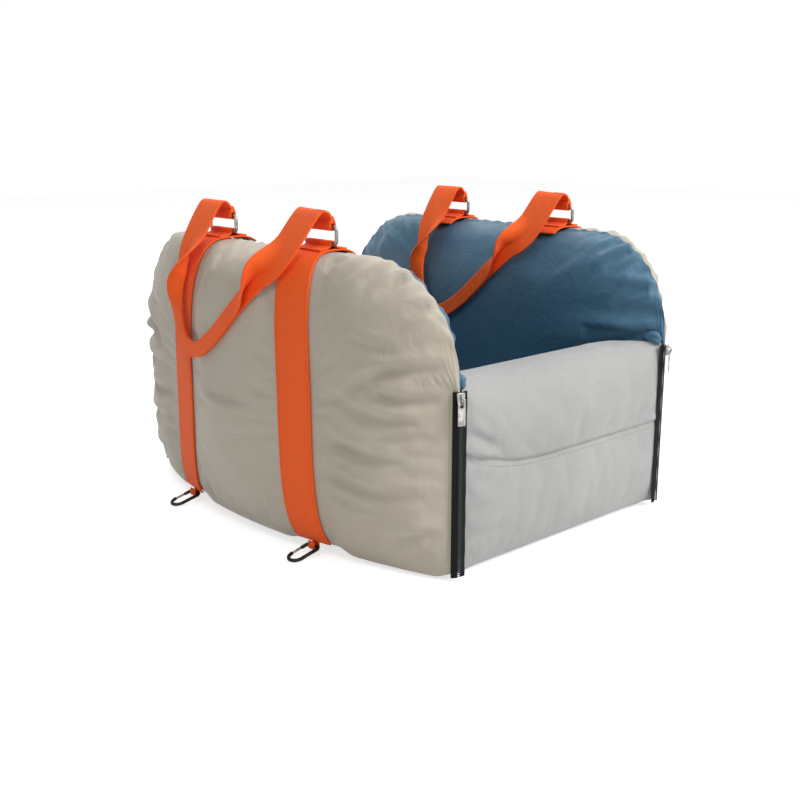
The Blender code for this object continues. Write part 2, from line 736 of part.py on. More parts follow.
def hook_place(side, y):
    """The hook's own axes: X along it, sloping down and away from the seat to the ground, Y across it. The
    origin is on the bar that its tab holds, just under the foot of the strap."""
    foot = wall_point(side, strap_middle(y, STRAP_FOOT_ANGLE), STRAP_FOOT_ANGLE, -STRAP_STAND - WEBBING_THICKNESS)
    tab_radius = HOOK_WIRE + LOOP_RUNNING_GAP + WEBBING_THICKNESS
    bar = Vector((foot.x + side * HOOK_OUTREACH, foot.y, foot.z - tab_radius - GAP))
    slope = math.asin((bar.z - HOOK_WIRE - GAP) / HOOK_LENGTH)
    along = Vector((side * math.cos(slope), 0, -math.sin(slope)))
    across = Vector((0, side, 0))
    place = Matrix((along, across, along.cross(across))).transposed().to_4x4()
    place.translation = bar
    return place


def arc(centre_x, centre_y, radius, first_turn, last_turn, steps):
    """Points on an arc in the hook's plane. Turns are in quarter turns from its X axis."""
    turns = [first_turn + (last_turn - first_turn) * step / steps for step in range(steps + 1)]
    return [
        Vector((
            centre_x + radius * math.cos(QUARTER_TURN * turn),
            centre_y + radius * math.sin(QUARTER_TURN * turn), 0,
        ))
        for turn in turns
    ]


def make_hook(word, side, y):
    """A snap hook of bent wire, its sprung gate, and the webbing tab that holds it."""
    place = hook_place(side, y)
    half = HOOK_WIDTH / 2
    inner = half - HOOK_CORNER_RADIUS
    gate_start = HOOK_LENGTH * HOOK_START_SHARE
    gate_end = HOOK_LENGTH * HOOK_END_SHARE
    path = [Vector((gate_start, -half, 0))]
    path += arc(HOOK_CORNER_RADIUS, -inner, HOOK_CORNER_RADIUS, -1, -2, CORNER_STEPS)
    path += arc(HOOK_CORNER_RADIUS, inner, HOOK_CORNER_RADIUS, 2, 1, CORNER_STEPS)
    path += arc(HOOK_LENGTH - half, 0, half, 1, -1, 2 * CORNER_STEPS)
    path.append(Vector((gate_end, -half, 0)))
    curve = bpy.data.curves.new(f"{word}_hook", "CURVE")
    curve.dimensions = "3D"
    curve.bevel_depth = HOOK_WIRE
    curve.bevel_resolution = 2
    curve.use_fill_caps = True
    spline = curve.splines.new("POLY")
    spline.points.add(len(path) - 1)
    for point, local in zip(spline.points, path):
        point.co = (*(place.to_3x3() @ local), 1)
    curve.materials.append(new_material(f"{word}_hook", *COLOURS["black_steel"]))
    hook = bpy.data.objects.new(f"{word}_hook", curve)
    hook.location = place.translation
    PARTS.objects.link(hook)

    low, high = gate_start + GAP, gate_end - 2 * GAP
    bm = bmesh.new()
    turned = Matrix.Translation(((low + high) / 2, -half, 0)) @ Matrix.Rotation(QUARTER_TURN, 4, "Y")
    bmesh.ops.create_cone(
        bm, cap_ends=True, segments=LOOP_SIDES, radius1=GATE_WIRE, radius2=GATE_WIRE,
        depth=high - low, matrix=place @ turned,
    )
    add_object(f"{word}_hook_gate", bm, "steel", place @ Vector((low, GATE_WIRE - half, 0)))

    inner = HOOK_WIRE + LOOP_RUNNING_GAP
    bm = tube_around_y(place.translation, HOOK_TAB_WIDTH, inner, WEBBING_THICKNESS)
    add_object(f"{word}_hook_tab", bm, "webbing")


def make_strap_set(word, side, y):
    make_strap(f"{word}_strap", side, y)
    inner, outer = loop_radii()
    bm = tube_around_y(ring_bar(side, y, 0), LOOP_LENGTH, inner, outer - inner)
    add_object(f"{word}_ring_loop", bm, "webbing")
    make_ring(f"{word}_ring", side, y)
    make_hook(word, side, y)


make_base()
make_cushion()
for side_word, side in SIDES.items():
    make_side_wall(side_word, side)
for end_word, end in ENDS.items():
    make_flap(end_word, end)
    for side_word, side in SIDES.items():
        make_zip_tapes(end_word, end, side_word, side)
        make_slider(end_word, end, side_word, side)
        make_strap_set(f"{side_word}_{end_word}", side, end * STRAP_SPACING / 2)
make_handle("left_handle", -1, 1)
make_handle("right_handle", 1, -1)
make_belt_strap()
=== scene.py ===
# %% [markdown]
# # A dog car seat
# The seat is two tall stuffed side walls on a stiff base, with a low wall at each end. Zips at the four corners
# join them, and two webbing straps cross each side wall and end in a ring and a carry handle.
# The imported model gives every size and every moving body. This script dresses it in cloth, webbing and metal.

# %% Load the frame
import math

import bmesh
import bpy
import numpy as np
from mathutils import Matrix, Vector
from mathutils.bvhtree import BVHTree


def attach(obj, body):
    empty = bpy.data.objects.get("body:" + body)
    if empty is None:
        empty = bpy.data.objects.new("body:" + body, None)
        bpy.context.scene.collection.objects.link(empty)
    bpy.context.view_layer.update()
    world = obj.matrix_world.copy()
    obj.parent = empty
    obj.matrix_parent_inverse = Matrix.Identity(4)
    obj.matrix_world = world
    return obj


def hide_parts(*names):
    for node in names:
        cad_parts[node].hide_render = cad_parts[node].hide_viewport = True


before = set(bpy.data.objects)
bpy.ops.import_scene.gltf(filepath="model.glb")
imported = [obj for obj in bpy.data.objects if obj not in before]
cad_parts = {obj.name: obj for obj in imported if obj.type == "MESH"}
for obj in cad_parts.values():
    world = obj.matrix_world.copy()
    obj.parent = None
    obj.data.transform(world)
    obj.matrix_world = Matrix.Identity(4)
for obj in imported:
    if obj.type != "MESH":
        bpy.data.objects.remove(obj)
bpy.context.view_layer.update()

SIDES, ENDS = (("left", -1), ("right", 1)), (("front", -1), ("rear", 1))

# %% [markdown]
# ### Helpers for objects, meshes and shader nodes
# Objects, meshes, settings and shader nodes are made by a few small helpers, so that each later step says only what
# is its own.

# %% Helpers for objects, meshes and shader nodes
def add_object(name, data):
    """An object with this mesh, lamp or camera, put in the scene."""
    thing = bpy.data.objects.new(name, data)
    bpy.context.scene.collection.objects.link(thing)
    return thing


def add_mesh(name, bm):
    """An object made of a finished bmesh, which is used up."""
    mesh = bpy.data.meshes.new(name)
    bm.to_mesh(mesh)
    bm.free()
    return add_object(name, mesh)


def set_all(thing, **values):
    """The same thing, with these properties set."""
    for name, value in values.items():
        setattr(thing, name, value)
    return thing


def add_modifier(thing, kind, **settings):
    """A modifier with these settings."""
    set_all(thing.modifiers.new(kind.lower(), kind), **settings)


def set_inputs(tree, node, values):
    """Connects or sets a node's inputs. A name such as in0 is the input's number."""
    for name, value in values.items():
        socket = node.inputs[int(name[2:])] if name[:2] == "in" else node.inputs[name]
        if isinstance(value, bpy.types.NodeSocket):
            tree.links.new(value, socket)
        else:
            socket.default_value = value
    return node


def wire(tree, kind, **values):
    """Adds a node and fills its inputs."""
    return set_inputs(tree, tree.nodes.new(kind), values)


def maths(tree, operation, *values):
    """The result of one sum on sockets or numbers."""
    node = tree.nodes.new("ShaderNodeMath")
    node.operation = operation
    return set_inputs(tree, node, {f"in{number}": value for number, value in enumerate(values)}).outputs[0]


print("helpers ready for", len(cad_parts), "packed solids")


# %% [markdown]
# ## Camera
# The seat is seen from its front left corner, a little from above. The angles and the distance were fitted to
# the places of the corners, zips and rings in the photograph, so the same perspective comes back.

# %% Place the camera
CAMERA_AZIMUTH, CAMERA_ELEVATION = math.radians(-42.4), math.radians(14.4)
CAMERA_DISTANCE, CAMERA_LENS = 1.54, 49.5
CAMERA_TARGET = Vector((0.005, 0.0, 0.120))

camera = add_object("camera", set_all(bpy.data.cameras.new("camera"), lens=CAMERA_LENS, sensor_width=36))
back = Vector((
    math.sin(CAMERA_AZIMUTH) * math.cos(CAMERA_ELEVATION),
    -math.cos(CAMERA_AZIMUTH) * math.cos(CAMERA_ELEVATION),
    math.sin(CAMERA_ELEVATION),
))
camera.location = CAMERA_TARGET + back * CAMERA_DISTANCE
camera.rotation_mode = "QUATERNION"
camera.rotation_quaternion = (-back).to_track_quat("-Z", "Y")
bpy.context.scene.camera = camera
bpy.context.scene.view_settings.view_transform = "Standard"
print("camera at", [round(v, 3) for v in camera.location])

# %% [markdown]
# ## Floor, background and light
# A product photograph on white uses a bright sweep. Turning the lamps up until the floor is white would wash out
# the cloth, so the floor and the world show white to the camera only, and the lamps stay at a plain level.

# %% Make the world
FILL_COLOUR, FILL_STRENGTH = (0.93, 0.96, 1.0, 1), 0.26


def seen_or_mirrored(tree):
    """The ray's kinds, and 1 where it comes from the camera or from a glossy surface."""
    path = wire(tree, "ShaderNodeLightPath")
    return path, maths(tree, "MAXIMUM", path.outputs["Is Camera Ray"], path.outputs["Is Glossy Ray"])


world = bpy.data.worlds.new("studio")
bpy.context.scene.world = world
world.use_nodes = True
tree = world.node_tree
tree.nodes.clear()
path, seen = seen_or_mirrored(tree)
seen_through = maths(tree, "MAXIMUM", seen, path.outputs["Is Transmission Ray"])
fill_light = wire(tree, "ShaderNodeBackground", Color=FILL_COLOUR, Strength=FILL_STRENGTH)
white = wire(tree, "ShaderNodeBackground", Color=(1, 1, 1, 1))
mix = wire(tree, "ShaderNodeMixShader", in0=seen_through, in1=fill_light.outputs[0], in2=white.outputs[0])
wire(tree, "ShaderNodeOutputWorld", Surface=mix.outputs[0])
print("world strength", FILL_STRENGTH)

# %% [markdown]
# ### Make the floor
# The floor is a shade brighter than white cloth to the camera and still takes the seat's shadow.

# %% Make the floor
FLOOR_SIZE, FLOOR_GLOW = 12.0, 0.68
bm = bmesh.new()
bmesh.ops.create_grid(bm, x_segments=1, y_segments=1, size=FLOOR_SIZE / 2)
floor = add_mesh("floor", bm)
floor_paint = bpy.data.materials.new("floor_paper")
floor_paint.use_nodes = True
tree = floor_paint.node_tree
paper = tree.nodes["Principled BSDF"]
paper.inputs["Base Color"].default_value = (0.86, 0.86, 0.86, 1)
paper.inputs["Roughness"].default_value = 0.9
glow = wire(tree, "ShaderNodeEmission", Strength=maths(tree, "MULTIPLY", seen_or_mirrored(tree)[1], FLOOR_GLOW))
both = wire(tree, "ShaderNodeAddShader", in0=paper.outputs[0], in1=glow.outputs[0])
tree.links.new(both.outputs[0], tree.nodes["Material Output"].inputs["Surface"])
floor.data.materials.append(floor_paint)
print("floor", FLOOR_SIZE, "m wide, glow", FLOOR_GLOW)


# %% Hang the lamps
def add_lamp(name, place, size, watts, colour):
    """A square soft lamp that looks at the middle of the seat."""
    light = set_all(bpy.data.lights.new(name, "AREA"), shape="SQUARE", size=size, energy=watts, color=colour)
    lamp = add_object(name, light)
    lamp.location = place
    lamp.rotation_euler = (Vector((0, 0, 0.2)) - Vector(place)).to_track_quat("-Z", "Y").to_euler()


add_lamp("key_lamp", (0.8, -2.3, 2.3), 1.3, 78, (1.0, 0.985, 0.96))
add_lamp("side_lamp", (-1.5, -1.5, 2.7), 1.0, 20, (1.0, 0.985, 0.97))
add_lamp("top_lamp", (0.3, 0.9, 2.6), 1.8, 30, (1.0, 1.0, 1.0))

# %% [markdown]
# ## Effects that several finishes share
# Cloth, webbing and tape all show threads, a little unevenness and small creases. Each effect is a node group
# with its own inputs, built once here and placed in each material with that material's values.

# %% A new node group
def new_group(name, inputs, outputs):
    """An empty node group with these inputs (name: kind, default) and value outputs."""
    group = bpy.data.node_groups.new(name, "ShaderNodeTree")
    for label, (kind, default) in inputs.items():
        socket = group.interface.new_socket(name=label, in_out="INPUT", socket_type=kind)
        if default is not None:
            socket.default_value = default
    for label in outputs:
        group.interface.new_socket(name=label, in_out="OUTPUT", socket_type="NodeSocketFloat")
    print("node group:", name)
    return group, group.nodes.new("NodeGroupInput"), group.nodes.new("NodeGroupOutput")


# %% [markdown]
# ### Plain weave
# Threads cross over and under. The map is in metres, so a thread keeps its real width on every piece.

# %% Plain weave
weave, given, out = new_group(
    "plain_weave",
    {"Map": ("NodeSocketVector", None), "Thread": ("NodeSocketFloat", 0.0006)},
    ["Height"],
)
axes = wire(weave, "ShaderNodeSeparateXYZ", in0=given.outputs["Map"])
turn = maths(weave, "DIVIDE", math.pi, given.outputs["Thread"])
ridges = [maths(weave, "SINE", maths(weave, "MULTIPLY", axes.outputs[axis], turn)) for axis in ("X", "Y")]
set_inputs(weave, out, {"Height": maths(weave, "MULTIPLY_ADD", maths(weave, "MULTIPLY", *ridges), 0.5, 0.5)})

# %% [markdown]
# ### Ribbed webbing
# Heavy webbing shows cords that run its whole length, each with slanted stitches like a row of plaits. Its second
# output is painted shade that darkens the colour between the cords.

# %% Ribbed webbing
ribs, given, out = new_group(
    "webbing_rib",
    {"Map": ("NodeSocketVector", None), "Cord": ("NodeSocketFloat", 0.0021)},
    ["Height", "Groove"],
)
axes = wire(ribs, "ShaderNodeSeparateXYZ", in0=given.outputs["Map"])
across, along = (maths(ribs, "DIVIDE", axes.outputs[axis], given.outputs["Cord"]) for axis in ("X", "Y"))
triangle = maths(ribs, "PINGPONG", across, 0.5)
pick = maths(ribs, "PINGPONG", maths(ribs, "MULTIPLY_ADD", triangle, 1.6, along), 0.5)
rounded = maths(ribs, "MULTIPLY", maths(ribs, "POWER", pick, 0.5), maths(ribs, "POWER", triangle, 0.5))
height = maths(ribs, "MULTIPLY", rounded, 2.0)
set_inputs(ribs, out, {"Height": height, "Groove": maths(ribs, "SUBTRACT", 1.0, height)})

# %% [markdown]
# ### Unevenness and small creases
# No real finish is even: broad patches are a touch lighter, and handling leaves fine soft creases.

# %% Unevenness and small creases
patches, given, out = new_group(
    "handled_surface",
    {"Place": ("NodeSocketVector", None), "Patch": ("NodeSocketFloat", 9.0), "Crease": ("NodeSocketFloat", 34.0)},
    ["Patches", "Creases"],
)
broad = wire(patches, "ShaderNodeTexNoise", Vector=given.outputs["Place"], Scale=given.outputs["Patch"], Detail=3.0)
fine = wire(
    patches, "ShaderNodeTexNoise", Vector=given.outputs["Place"], Scale=given.outputs["Crease"],
    Detail=2.0, Distortion=0.8,
)
valley = maths(patches, "ABSOLUTE", maths(patches, "SUBTRACT", fine.outputs[0], 0.5))
set_inputs(patches, out, {"Patches": broad.outputs[0], "Creases": maths(patches, "POWER", valley, 0.6)})
print("node groups:", [g.name for g in bpy.data.node_groups])

# %% [markdown]
# ## Finishes
# The covers are a smooth coated fabric: a fine weave that hardly shows, a satin sheen and soft handling creases.
# The outer cloth is a warm grey, the end walls a cooler grey and the lining a deep blue.

# %% [markdown]
# ### Helpers for materials
# Every finish mixes two near colours by a mask and stacks a few small bumps, so these parts are shared.

# %% Helpers for materials
def shaded(tree, low_colour, high_colour, mask):
    """Mixes two colours by a mask."""
    node = tree.nodes.new("ShaderNodeMix")
    node.data_type = "RGBA"
    node.inputs[6].default_value = (*low_colour, 1)
    node.inputs[7].default_value = (*high_colour, 1)
    tree.links.new(mask, node.inputs[0])
    return node.outputs[2]


def remap(tree, value, low, high, new_low, new_high):
    """A value carried over from one range to another."""
    node = wire(
        tree, "ShaderNodeMapRange", Value=value,
        **{"From Min": low, "From Max": high, "To Min": new_low, "To Max": new_high},
    )
    return node.outputs[0]


def use_group(tree, group, **values):
    """Places one of the shared effects."""
    node = tree.nodes.new("ShaderNodeGroup")
    node.node_tree = group
    return set_inputs(tree, node, values)


def new_material(name, patch, crease):
    """A material, its tree, its map in metres, and its unevenness and creases at these scales."""
    material = bpy.data.materials.new(name)
    material.use_nodes = True
    tree = material.node_tree
    places = wire(tree, "ShaderNodeTexCoord")
    handled = use_group(tree, patches, Place=places.outputs["Object"], Patch=patch, Crease=crease)
    return material, tree, places.outputs["UV"], handled


def fill_shader(tree, colour, roughness, bumps, values):
    """Sets a shader's colour, roughness, stacked bumps (each a height and its depth in metres) and other values."""
    normal = None
    for height, depth in bumps:
        node = wire(tree, "ShaderNodeBump", Height=height, Distance=depth)
        if normal is not None:
            tree.links.new(normal, node.inputs["Normal"])
        normal = node.outputs["Normal"]
    set_inputs(tree, tree.nodes["Principled BSDF"], {
        "Base Color": colour, "Roughness": roughness, "Normal": normal, **values,
    })


# %% A coated cloth
def coated_cloth(name, dark, light, roughness, thread=0.0007, coat=0.0):
    material, tree, cloth_map, handled = new_material(name, 9.0, 34.0)
    woven = use_group(tree, weave, Map=cloth_map, Thread=thread)
    mask = remap(tree, handled.outputs["Patches"], 0.3, 0.7, 0.0, 1.0)
    worn = remap(tree, handled.outputs["Creases"], 0.1, 0.6, roughness + 0.07, roughness - 0.05)
    bumps = [(handled.outputs["Creases"], 0.0010), (woven.outputs["Height"], 0.00010)]
    fill_shader(tree, shaded(tree, dark, light, mask), worn, bumps, {
        "Sheen Weight": 0.12, "Sheen Roughness": 0.5, "Coat Weight": coat, "Coat Roughness": 0.35,
        "Specular IOR Level": 0.4,
    })
    return material


OUTER_CLOTH = coated_cloth("warm_grey_cloth", (0.448, 0.402, 0.325), (0.510, 0.463, 0.384), 0.50)
END_CLOTH = coated_cloth("cool_grey_cloth", (0.338, 0.340, 0.335), (0.385, 0.387, 0.381), 0.50)
LINING_CLOTH = coated_cloth("blue_lining", (0.034, 0.115, 0.190), (0.054, 0.155, 0.245), 0.42, coat=0.08)
BASE_CLOTH = coated_cloth("black_base_cloth", (0.010, 0.010, 0.011), (0.020, 0.020, 0.022), 0.72, thread=0.0014)
print("cloths:", [cloth.name for cloth in (OUTER_CLOTH, END_CLOTH, LINING_CLOTH, BASE_CLOTH)])


# %% [markdown]
# ### Orange webbing, black tape and sewing thread
# Webbing is the ribbed effect above, in orange with wide cords and in black with fine ones for the zips' tape.

# %% Orange webbing, black tape and sewing thread
def webbing(name, dark, light, cord, depth, sheen=0.05):
    material, tree, strap_map, handled = new_material(name, 22.0, 60.0)
    plaits = use_group(tree, ribs, Map=strap_map, Cord=cord)
    # Painted shade: the colour darkens between the cords, and broad random patches vary its tone.
    groove = remap(tree, plaits.outputs["Groove"], 0.1, 1.0, 1.0, 0.25)
    worn = remap(tree, handled.outputs["Patches"], 0.3, 0.7, 0.75, 1.0)
    mask = maths(tree, "MULTIPLY", groove, worn)
    roughness = remap(tree, plaits.outputs["Height"], 0.0, 1.0, 0.75, 0.55)
    bumps = [(handled.outputs["Creases"], depth * 1.5), (plaits.outputs["Height"], depth)]
    fill_shader(tree, shaded(tree, dark, light, mask), roughness, bumps, {
        "Sheen Weight": sheen, "Sheen Roughness": 0.4, "Specular IOR Level": 0.3 if sheen else 0.12,
    })
    return material


ORANGE_WEBBING = webbing("orange_webbing", (0.97, 0.092, 0.008), (1.00, 0.155, 0.015), 0.0021, 0.00035)
BLACK_TAPE = webbing("black_zip_tape", (0.004, 0.004, 0.004), (0.010, 0.010, 0.011), 0.0009, 0.00012, sheen=0.0)


def fibres(name, dark, light):
    material, tree, _, handled = new_material(name, 400.0, 900.0)
    mask = remap(tree, handled.outputs["Patches"], 0.3, 0.7, 0.0, 1.0)
    fill_shader(tree, shaded(tree, dark, light, mask), 0.6, [(handled.outputs["Creases"], 0.0001)], {})
    return material


GREY_THREAD = fibres("grey_thread", (0.20, 0.19, 0.17), (0.30, 0.28, 0.26))
ORANGE_THREAD = fibres("orange_thread", (0.50, 0.05, 0.01), (0.75, 0.12, 0.03))
print("strap and thread:", [made.name for made in (ORANGE_WEBBING, BLACK_TAPE, GREY_THREAD, ORANGE_THREAD)])


# %% [markdown]
# ### Metal and hard nylon
# Nickel plate on the rings and zips, a worn black finish on the hooks, and black nylon for the zips' coils.

# %% Metal and hard nylon
def hard_finish(name, dark, light, roughness, metallic=1.0):
    material, tree, _, handled = new_material(name, 160.0, 700.0)
    mask = remap(tree, handled.outputs["Patches"], 0.42, 0.68, 0.0, 1.0)
    worn = remap(tree, handled.outputs["Creases"], 0.1, 0.6, roughness + 0.12, roughness - 0.05)
    bumps = [(handled.outputs["Creases"], 0.00004)]
    fill_shader(tree, shaded(tree, dark, light, mask), worn, bumps, {"Metallic": metallic})
    return material


NICKEL = hard_finish("nickel_plate", (0.26, 0.255, 0.245), (0.50, 0.49, 0.47), 0.33)
BLACK_METAL = hard_finish("black_plated_steel", (0.012, 0.012, 0.013), (0.045, 0.044, 0.043), 0.36, metallic=0.7)
BLACK_COIL = hard_finish("black_nylon_coil", (0.006, 0.006, 0.007), (0.020, 0.020, 0.021), 0.38, metallic=0.0)
FIBRE_BOARD = fibres("fibre_board", (0.16, 0.12, 0.08), (0.26, 0.21, 0.15))
print("materials:", [m.name for m in bpy.data.materials])

# %% [markdown]
# ## Side walls
# Each side wall is one big stuffed pillow: a grey outer cloth and a blue inner cloth, sewn together along the foot,
# the two upright ends and the ridge. It could be a smooth solid, but a real pillow swells between its seams and
# straps, and puckers where the cloth is gathered at the zips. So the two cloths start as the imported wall's own
# faces, are blown up with a cloth simulation while the seams are held, and then get their gathers.

# %% The cross section of a side wall
SEAT_LENGTH, CORNER_X, BASE_LIFT = 0.610, 0.1875, 0.010
SEAT_END = SEAT_LENGTH / 2
WALL_BOW, WALL_THICKNESS, WALL_HEIGHT = 0.025, 0.130, 0.345
RIDGE_CORNER, FOOT_CORNER = 0.125, 0.012
TAPER_POWER, RIDGE_POWER, FOOT_POWER = 0.75, 3.2, 5.0
CLOTH_INSET = 0.0004


def corner_drop(distance, half_length, radius):
    """How far a rounded corner falls away at this distance from the middle."""
    past = max(0.0, abs(distance) - (half_length - radius))
    return radius - math.sqrt(max(0.0, radius**2 - past**2))


def wall_section(y, inset=0.0):
    """Middle line, half thickness, foot and top of the wall at this y."""
    half_length = SEAT_END - inset
    fullness = max(0.0, 1 - (y / half_length) ** 2)
    middle = CORNER_X + WALL_BOW * fullness
    half = (WALL_THICKNESS / 2 - inset) * fullness**TAPER_POWER
    foot = BASE_LIFT + inset + corner_drop(y, half_length, FOOT_CORNER - inset)
    top = BASE_LIFT + WALL_HEIGHT - inset - corner_drop(y, half_length, RIDGE_CORNER - inset)
    return middle, half, foot, top


def signed_power(value, power):
    """A power that keeps the sign."""
    return np.sign(value) * np.abs(value) ** power


def wall_arc(y, face, inset=0.0, shift=0.0):
    """Fine points from the foot up one face (1 outer, -1 inner) to the ridge, for the right wall."""
    middle, half, foot, top = wall_section(y, inset)
    angle = np.linspace(-math.pi / 2, math.pi / 2, 181)
    power = np.where(angle > 0, RIDGE_POWER, FOOT_POWER)
    x = middle + shift + face * half * signed_power(np.cos(angle), 2 / power)
    z = (top + foot) / 2 + (top - foot) / 2 * signed_power(np.sin(angle), 2 / power)
    return np.stack([x, np.full_like(x, y), z], axis=1)


print("side wall", round(2 * wall_section(0.0)[1], 3), "m thick, its ridge at", round(wall_section(0.0)[3], 3), "m")

# %% [markdown]
# ### Where the straps run
# The straps press the cloth down, so the wall has to know where they are before it is blown up.

# %% Where the straps run
STRAP_SPACING, STRAP_FAN, WEBBING_WIDTH = 0.200, 0.030, 0.050
STRAP_FOOT_ANGLE, STRAP_TAIL_ANGLE = math.radians(-62), math.radians(112)


def strap_middle(end, angle):
    """Where a strap's middle line is along the wall: the straps spread apart on their way down from the ridge."""
    share = np.maximum(0.0, (math.pi / 2 - angle) / (math.pi / 2 - STRAP_FOOT_ANGLE))
    return end * (STRAP_SPACING / 2 + STRAP_FAN * share)


def angle_at(y, z):
    """The angle round the wall's section of a point on its outer face."""
    _, _, foot, top = wall_section(y)
    height = max(-1.0, min(1.0, (2 * z - top - foot) / (top - foot)))
    power = RIDGE_POWER if height > 0 else FOOT_POWER
    return math.asin(math.copysign(abs(height) ** (power / 2), height))


def resample(points, shares):
    """Points at these shares of a line's own length, and its length."""
    steps = np.linalg.norm(np.diff(points, axis=0), axis=1)
    travel = np.concatenate([[0.0], np.cumsum(steps)])
    wanted = np.asarray(shares) * travel[-1]
    return np.stack([np.interp(wanted, travel, points[:, axis]) for axis in range(3)], axis=1), travel[-1]


print("straps", WEBBING_WIDTH, "m wide, their middles", STRAP_SPACING, "m apart at the ridge")


# %% [markdown]
# ### Turn two tables of points into a pillow
# Each face of the pillow is a grid whose points are put on the table. The two grids are welded at their rims,
# and each point remembers its cloth, and how far along and up that cloth it lies, in metres.

# %% Turn two tables of points into a pillow
def add_grid(bm, table, flat):
    """A grid whose points are put on a table of columns, mapped to its flat places. Gives its faces."""
    columns, rows = len(table) - 1, len(table[0]) - 1
    uv = bm.loops.layers.uv.verify()
    made = bmesh.ops.create_grid(bm, x_segments=columns, y_segments=rows, size=0.5)["verts"]
    cell = {}
    for vert in made:
        cell[vert] = (round((vert.co.x + 0.5) * columns), round((vert.co.y + 0.5) * rows))
        vert.co = table[cell[vert][0]][cell[vert][1]]
    faces = {face for vert in made for face in vert.link_faces}
    for face in faces:
        for loop in face.loops:
            loop[uv].uv = flat[cell[loop.vert][0]][cell[loop.vert][1]]
    return faces


def make_pillow(name, tables, flats, weld=0.00015):
    """Two cloths welded at their rims, each with its own panel number."""
    bm = bmesh.new()
    marks = bm.faces.layers.int.new("panel")
    for panel, (table, flat) in enumerate(zip(tables, flats)):
        for face in add_grid(bm, table, flat):
            face[marks] = panel
    bmesh.ops.remove_doubles(bm, verts=bm.verts, dist=weld)
    bmesh.ops.recalc_face_normals(bm, faces=bm.faces)
    if bm.calc_volume(signed=True) < 0:
        bmesh.ops.reverse_faces(bm, faces=bm.faces)
    return add_mesh(name, bm)


# %% Tables, ramps and points
def two_tables(lines, column_of):
    """Tables of points, and of flat places, for an outer (1) and an inner (-1) cloth that meet all round their rim."""
    made = [[column_of(line, face) for line in lines] for face in (1, -1)]
    tables, flats = ([[column[part] for column in cloth] for cloth in made] for part in (0, 1))
    for first, second in zip(*tables):
        second[0], second[-1] = first[0], first[-1]
    for column in (0, -1):
        tables[1][column] = tables[0][column]
    return tables, flats


def ramp(value, start, width):
    """Rises from 0 at the start to 1 one width further on, or before it where the width is below 0."""
    return np.clip((value - start) / width, 0, 1)


def points_of(mesh):
    """A mesh's points as rows of x, y and z."""
    flat = np.empty(len(mesh.vertices) * 3)
    mesh.vertices.foreach_get("co", flat)
    return flat.reshape(-1, 3)


def set_points(mesh, points):
    mesh.vertices.foreach_set("co", points.ravel())
    mesh.update()


# %% [markdown]
# ### Blow a pillow up
# Pressure pushes the cloth out. Points with a hold of 1 stay at the seam or under a strap, and no point may go
# further than its own limit, so the pillow stays clear of what stands beside it.

# %% Blow a pillow up
BLOW_FRAMES = 20


def blow_up(pillow, hold, limit, pressure, slack=0.03):
    """Swells a pillow with pressure."""
    mesh = pillow.data
    start = points_of(mesh)
    held = pillow.vertex_groups.new(name="held")
    for index, weight in enumerate(hold):
        if weight > 0:
            held.add([index], float(weight), "REPLACE")
    cloth = pillow.modifiers.new("cloth", "CLOTH")
    set_all(
        cloth.settings, quality=5, mass=0.3, tension_stiffness=20, compression_stiffness=20, bending_stiffness=0.6,
        use_pressure=True, uniform_pressure_force=pressure, shrink_min=-slack, vertex_group_mass="held",
    )
    cloth.settings.effector_weights.gravity = 0
    cloth.point_cache.frame_start, cloth.point_cache.frame_end = 1, BLOW_FRAMES
    scene = bpy.context.scene
    for number in range(1, BLOW_FRAMES + 1):
        scene.frame_set(number)
    blown = points_of(pillow.evaluated_get(bpy.context.evaluated_depsgraph_get()).data)
    pillow.modifiers.remove(cloth)
    pillow.vertex_groups.clear()
    scene.frame_set(1)
    move = blown - start
    far = np.linalg.norm(move, axis=1, keepdims=True)
    share = np.minimum(1.0, limit[:, None] / np.maximum(far, 1e-9))
    set_points(mesh, start + move * share)
    print(pillow.name, "swelled by up to", round(float(far.max()) * 1000, 1), "mm")


# %% [markdown]
# ### Gathers
# A gather is a soft valley with a raised lip on each side. It starts at a seam, runs into the cloth and fades.

# %% Gathers
def gather_heights(places, gathers):
    total = np.zeros(len(places))
    for start, heading, length, width, depth, curve in gathers:
        offset = places - np.array(start)
        along = offset[:, 0] * math.cos(heading) + offset[:, 1] * math.sin(heading)
        aside = offset[:, 1] * math.cos(heading) - offset[:, 0] * math.sin(heading) - curve * along**2
        run = np.clip(along / length, 0, 1)
        fade = np.clip(run / 0.10, 0, 1) * (1 - run) ** 1.3
        spread = aside / (width * (0.7 + 0.8 * run))
        valley = -np.exp(-spread**2) + 0.6 * np.exp(-(spread - 1.6) ** 2) + 0.6 * np.exp(-(spread + 1.6) ** 2)
        total += depth * fade * valley * (along > 0)
    return total


def seam_gathers(rng, line, inward, count, length, width, depth):
    """Gathers at uneven steps along a seam line of (along, up) points, heading into the cloth."""
    line = np.array(line)
    made = []
    for number in range(count):
        share = (number + 0.5 + rng.uniform(-0.35, 0.35)) / count * (len(line) - 1)
        first = min(int(share), len(line) - 2)
        start = line[first] + (line[first + 1] - line[first]) * (share - first)
        heading = math.atan2(inward[1] - start[1], inward[0] - start[0]) + rng.uniform(-0.25, 0.25)
        made.append((
            tuple(start), heading, rng.uniform(*length), rng.uniform(*width), rng.uniform(*depth),
            rng.uniform(-2.0, 2.0),
        ))
    return made

# %% [markdown]
# ### Lay out the two cloths of a side wall
# Columns run along the seat and rows from the foot to the ridge, about 5 mm apart. The tables hold the right
# wall's points, and the left wall is their mirror image.

# %% Lay out the two cloths of a side wall
WALL_COLUMNS, WALL_ROWS = 122, 84


def wall_column(y, face):
    """One column of points from the foot to the ridge, and where they lie on the flat cloth."""
    shares = np.linspace(0, 1, WALL_ROWS + 1)
    points, length = resample(wall_arc(y, face, CLOTH_INSET), shares)
    foot_length = wall_section(y)[2] - BASE_LIFT
    return points, [(y, foot_length + share * length) for share in shares]


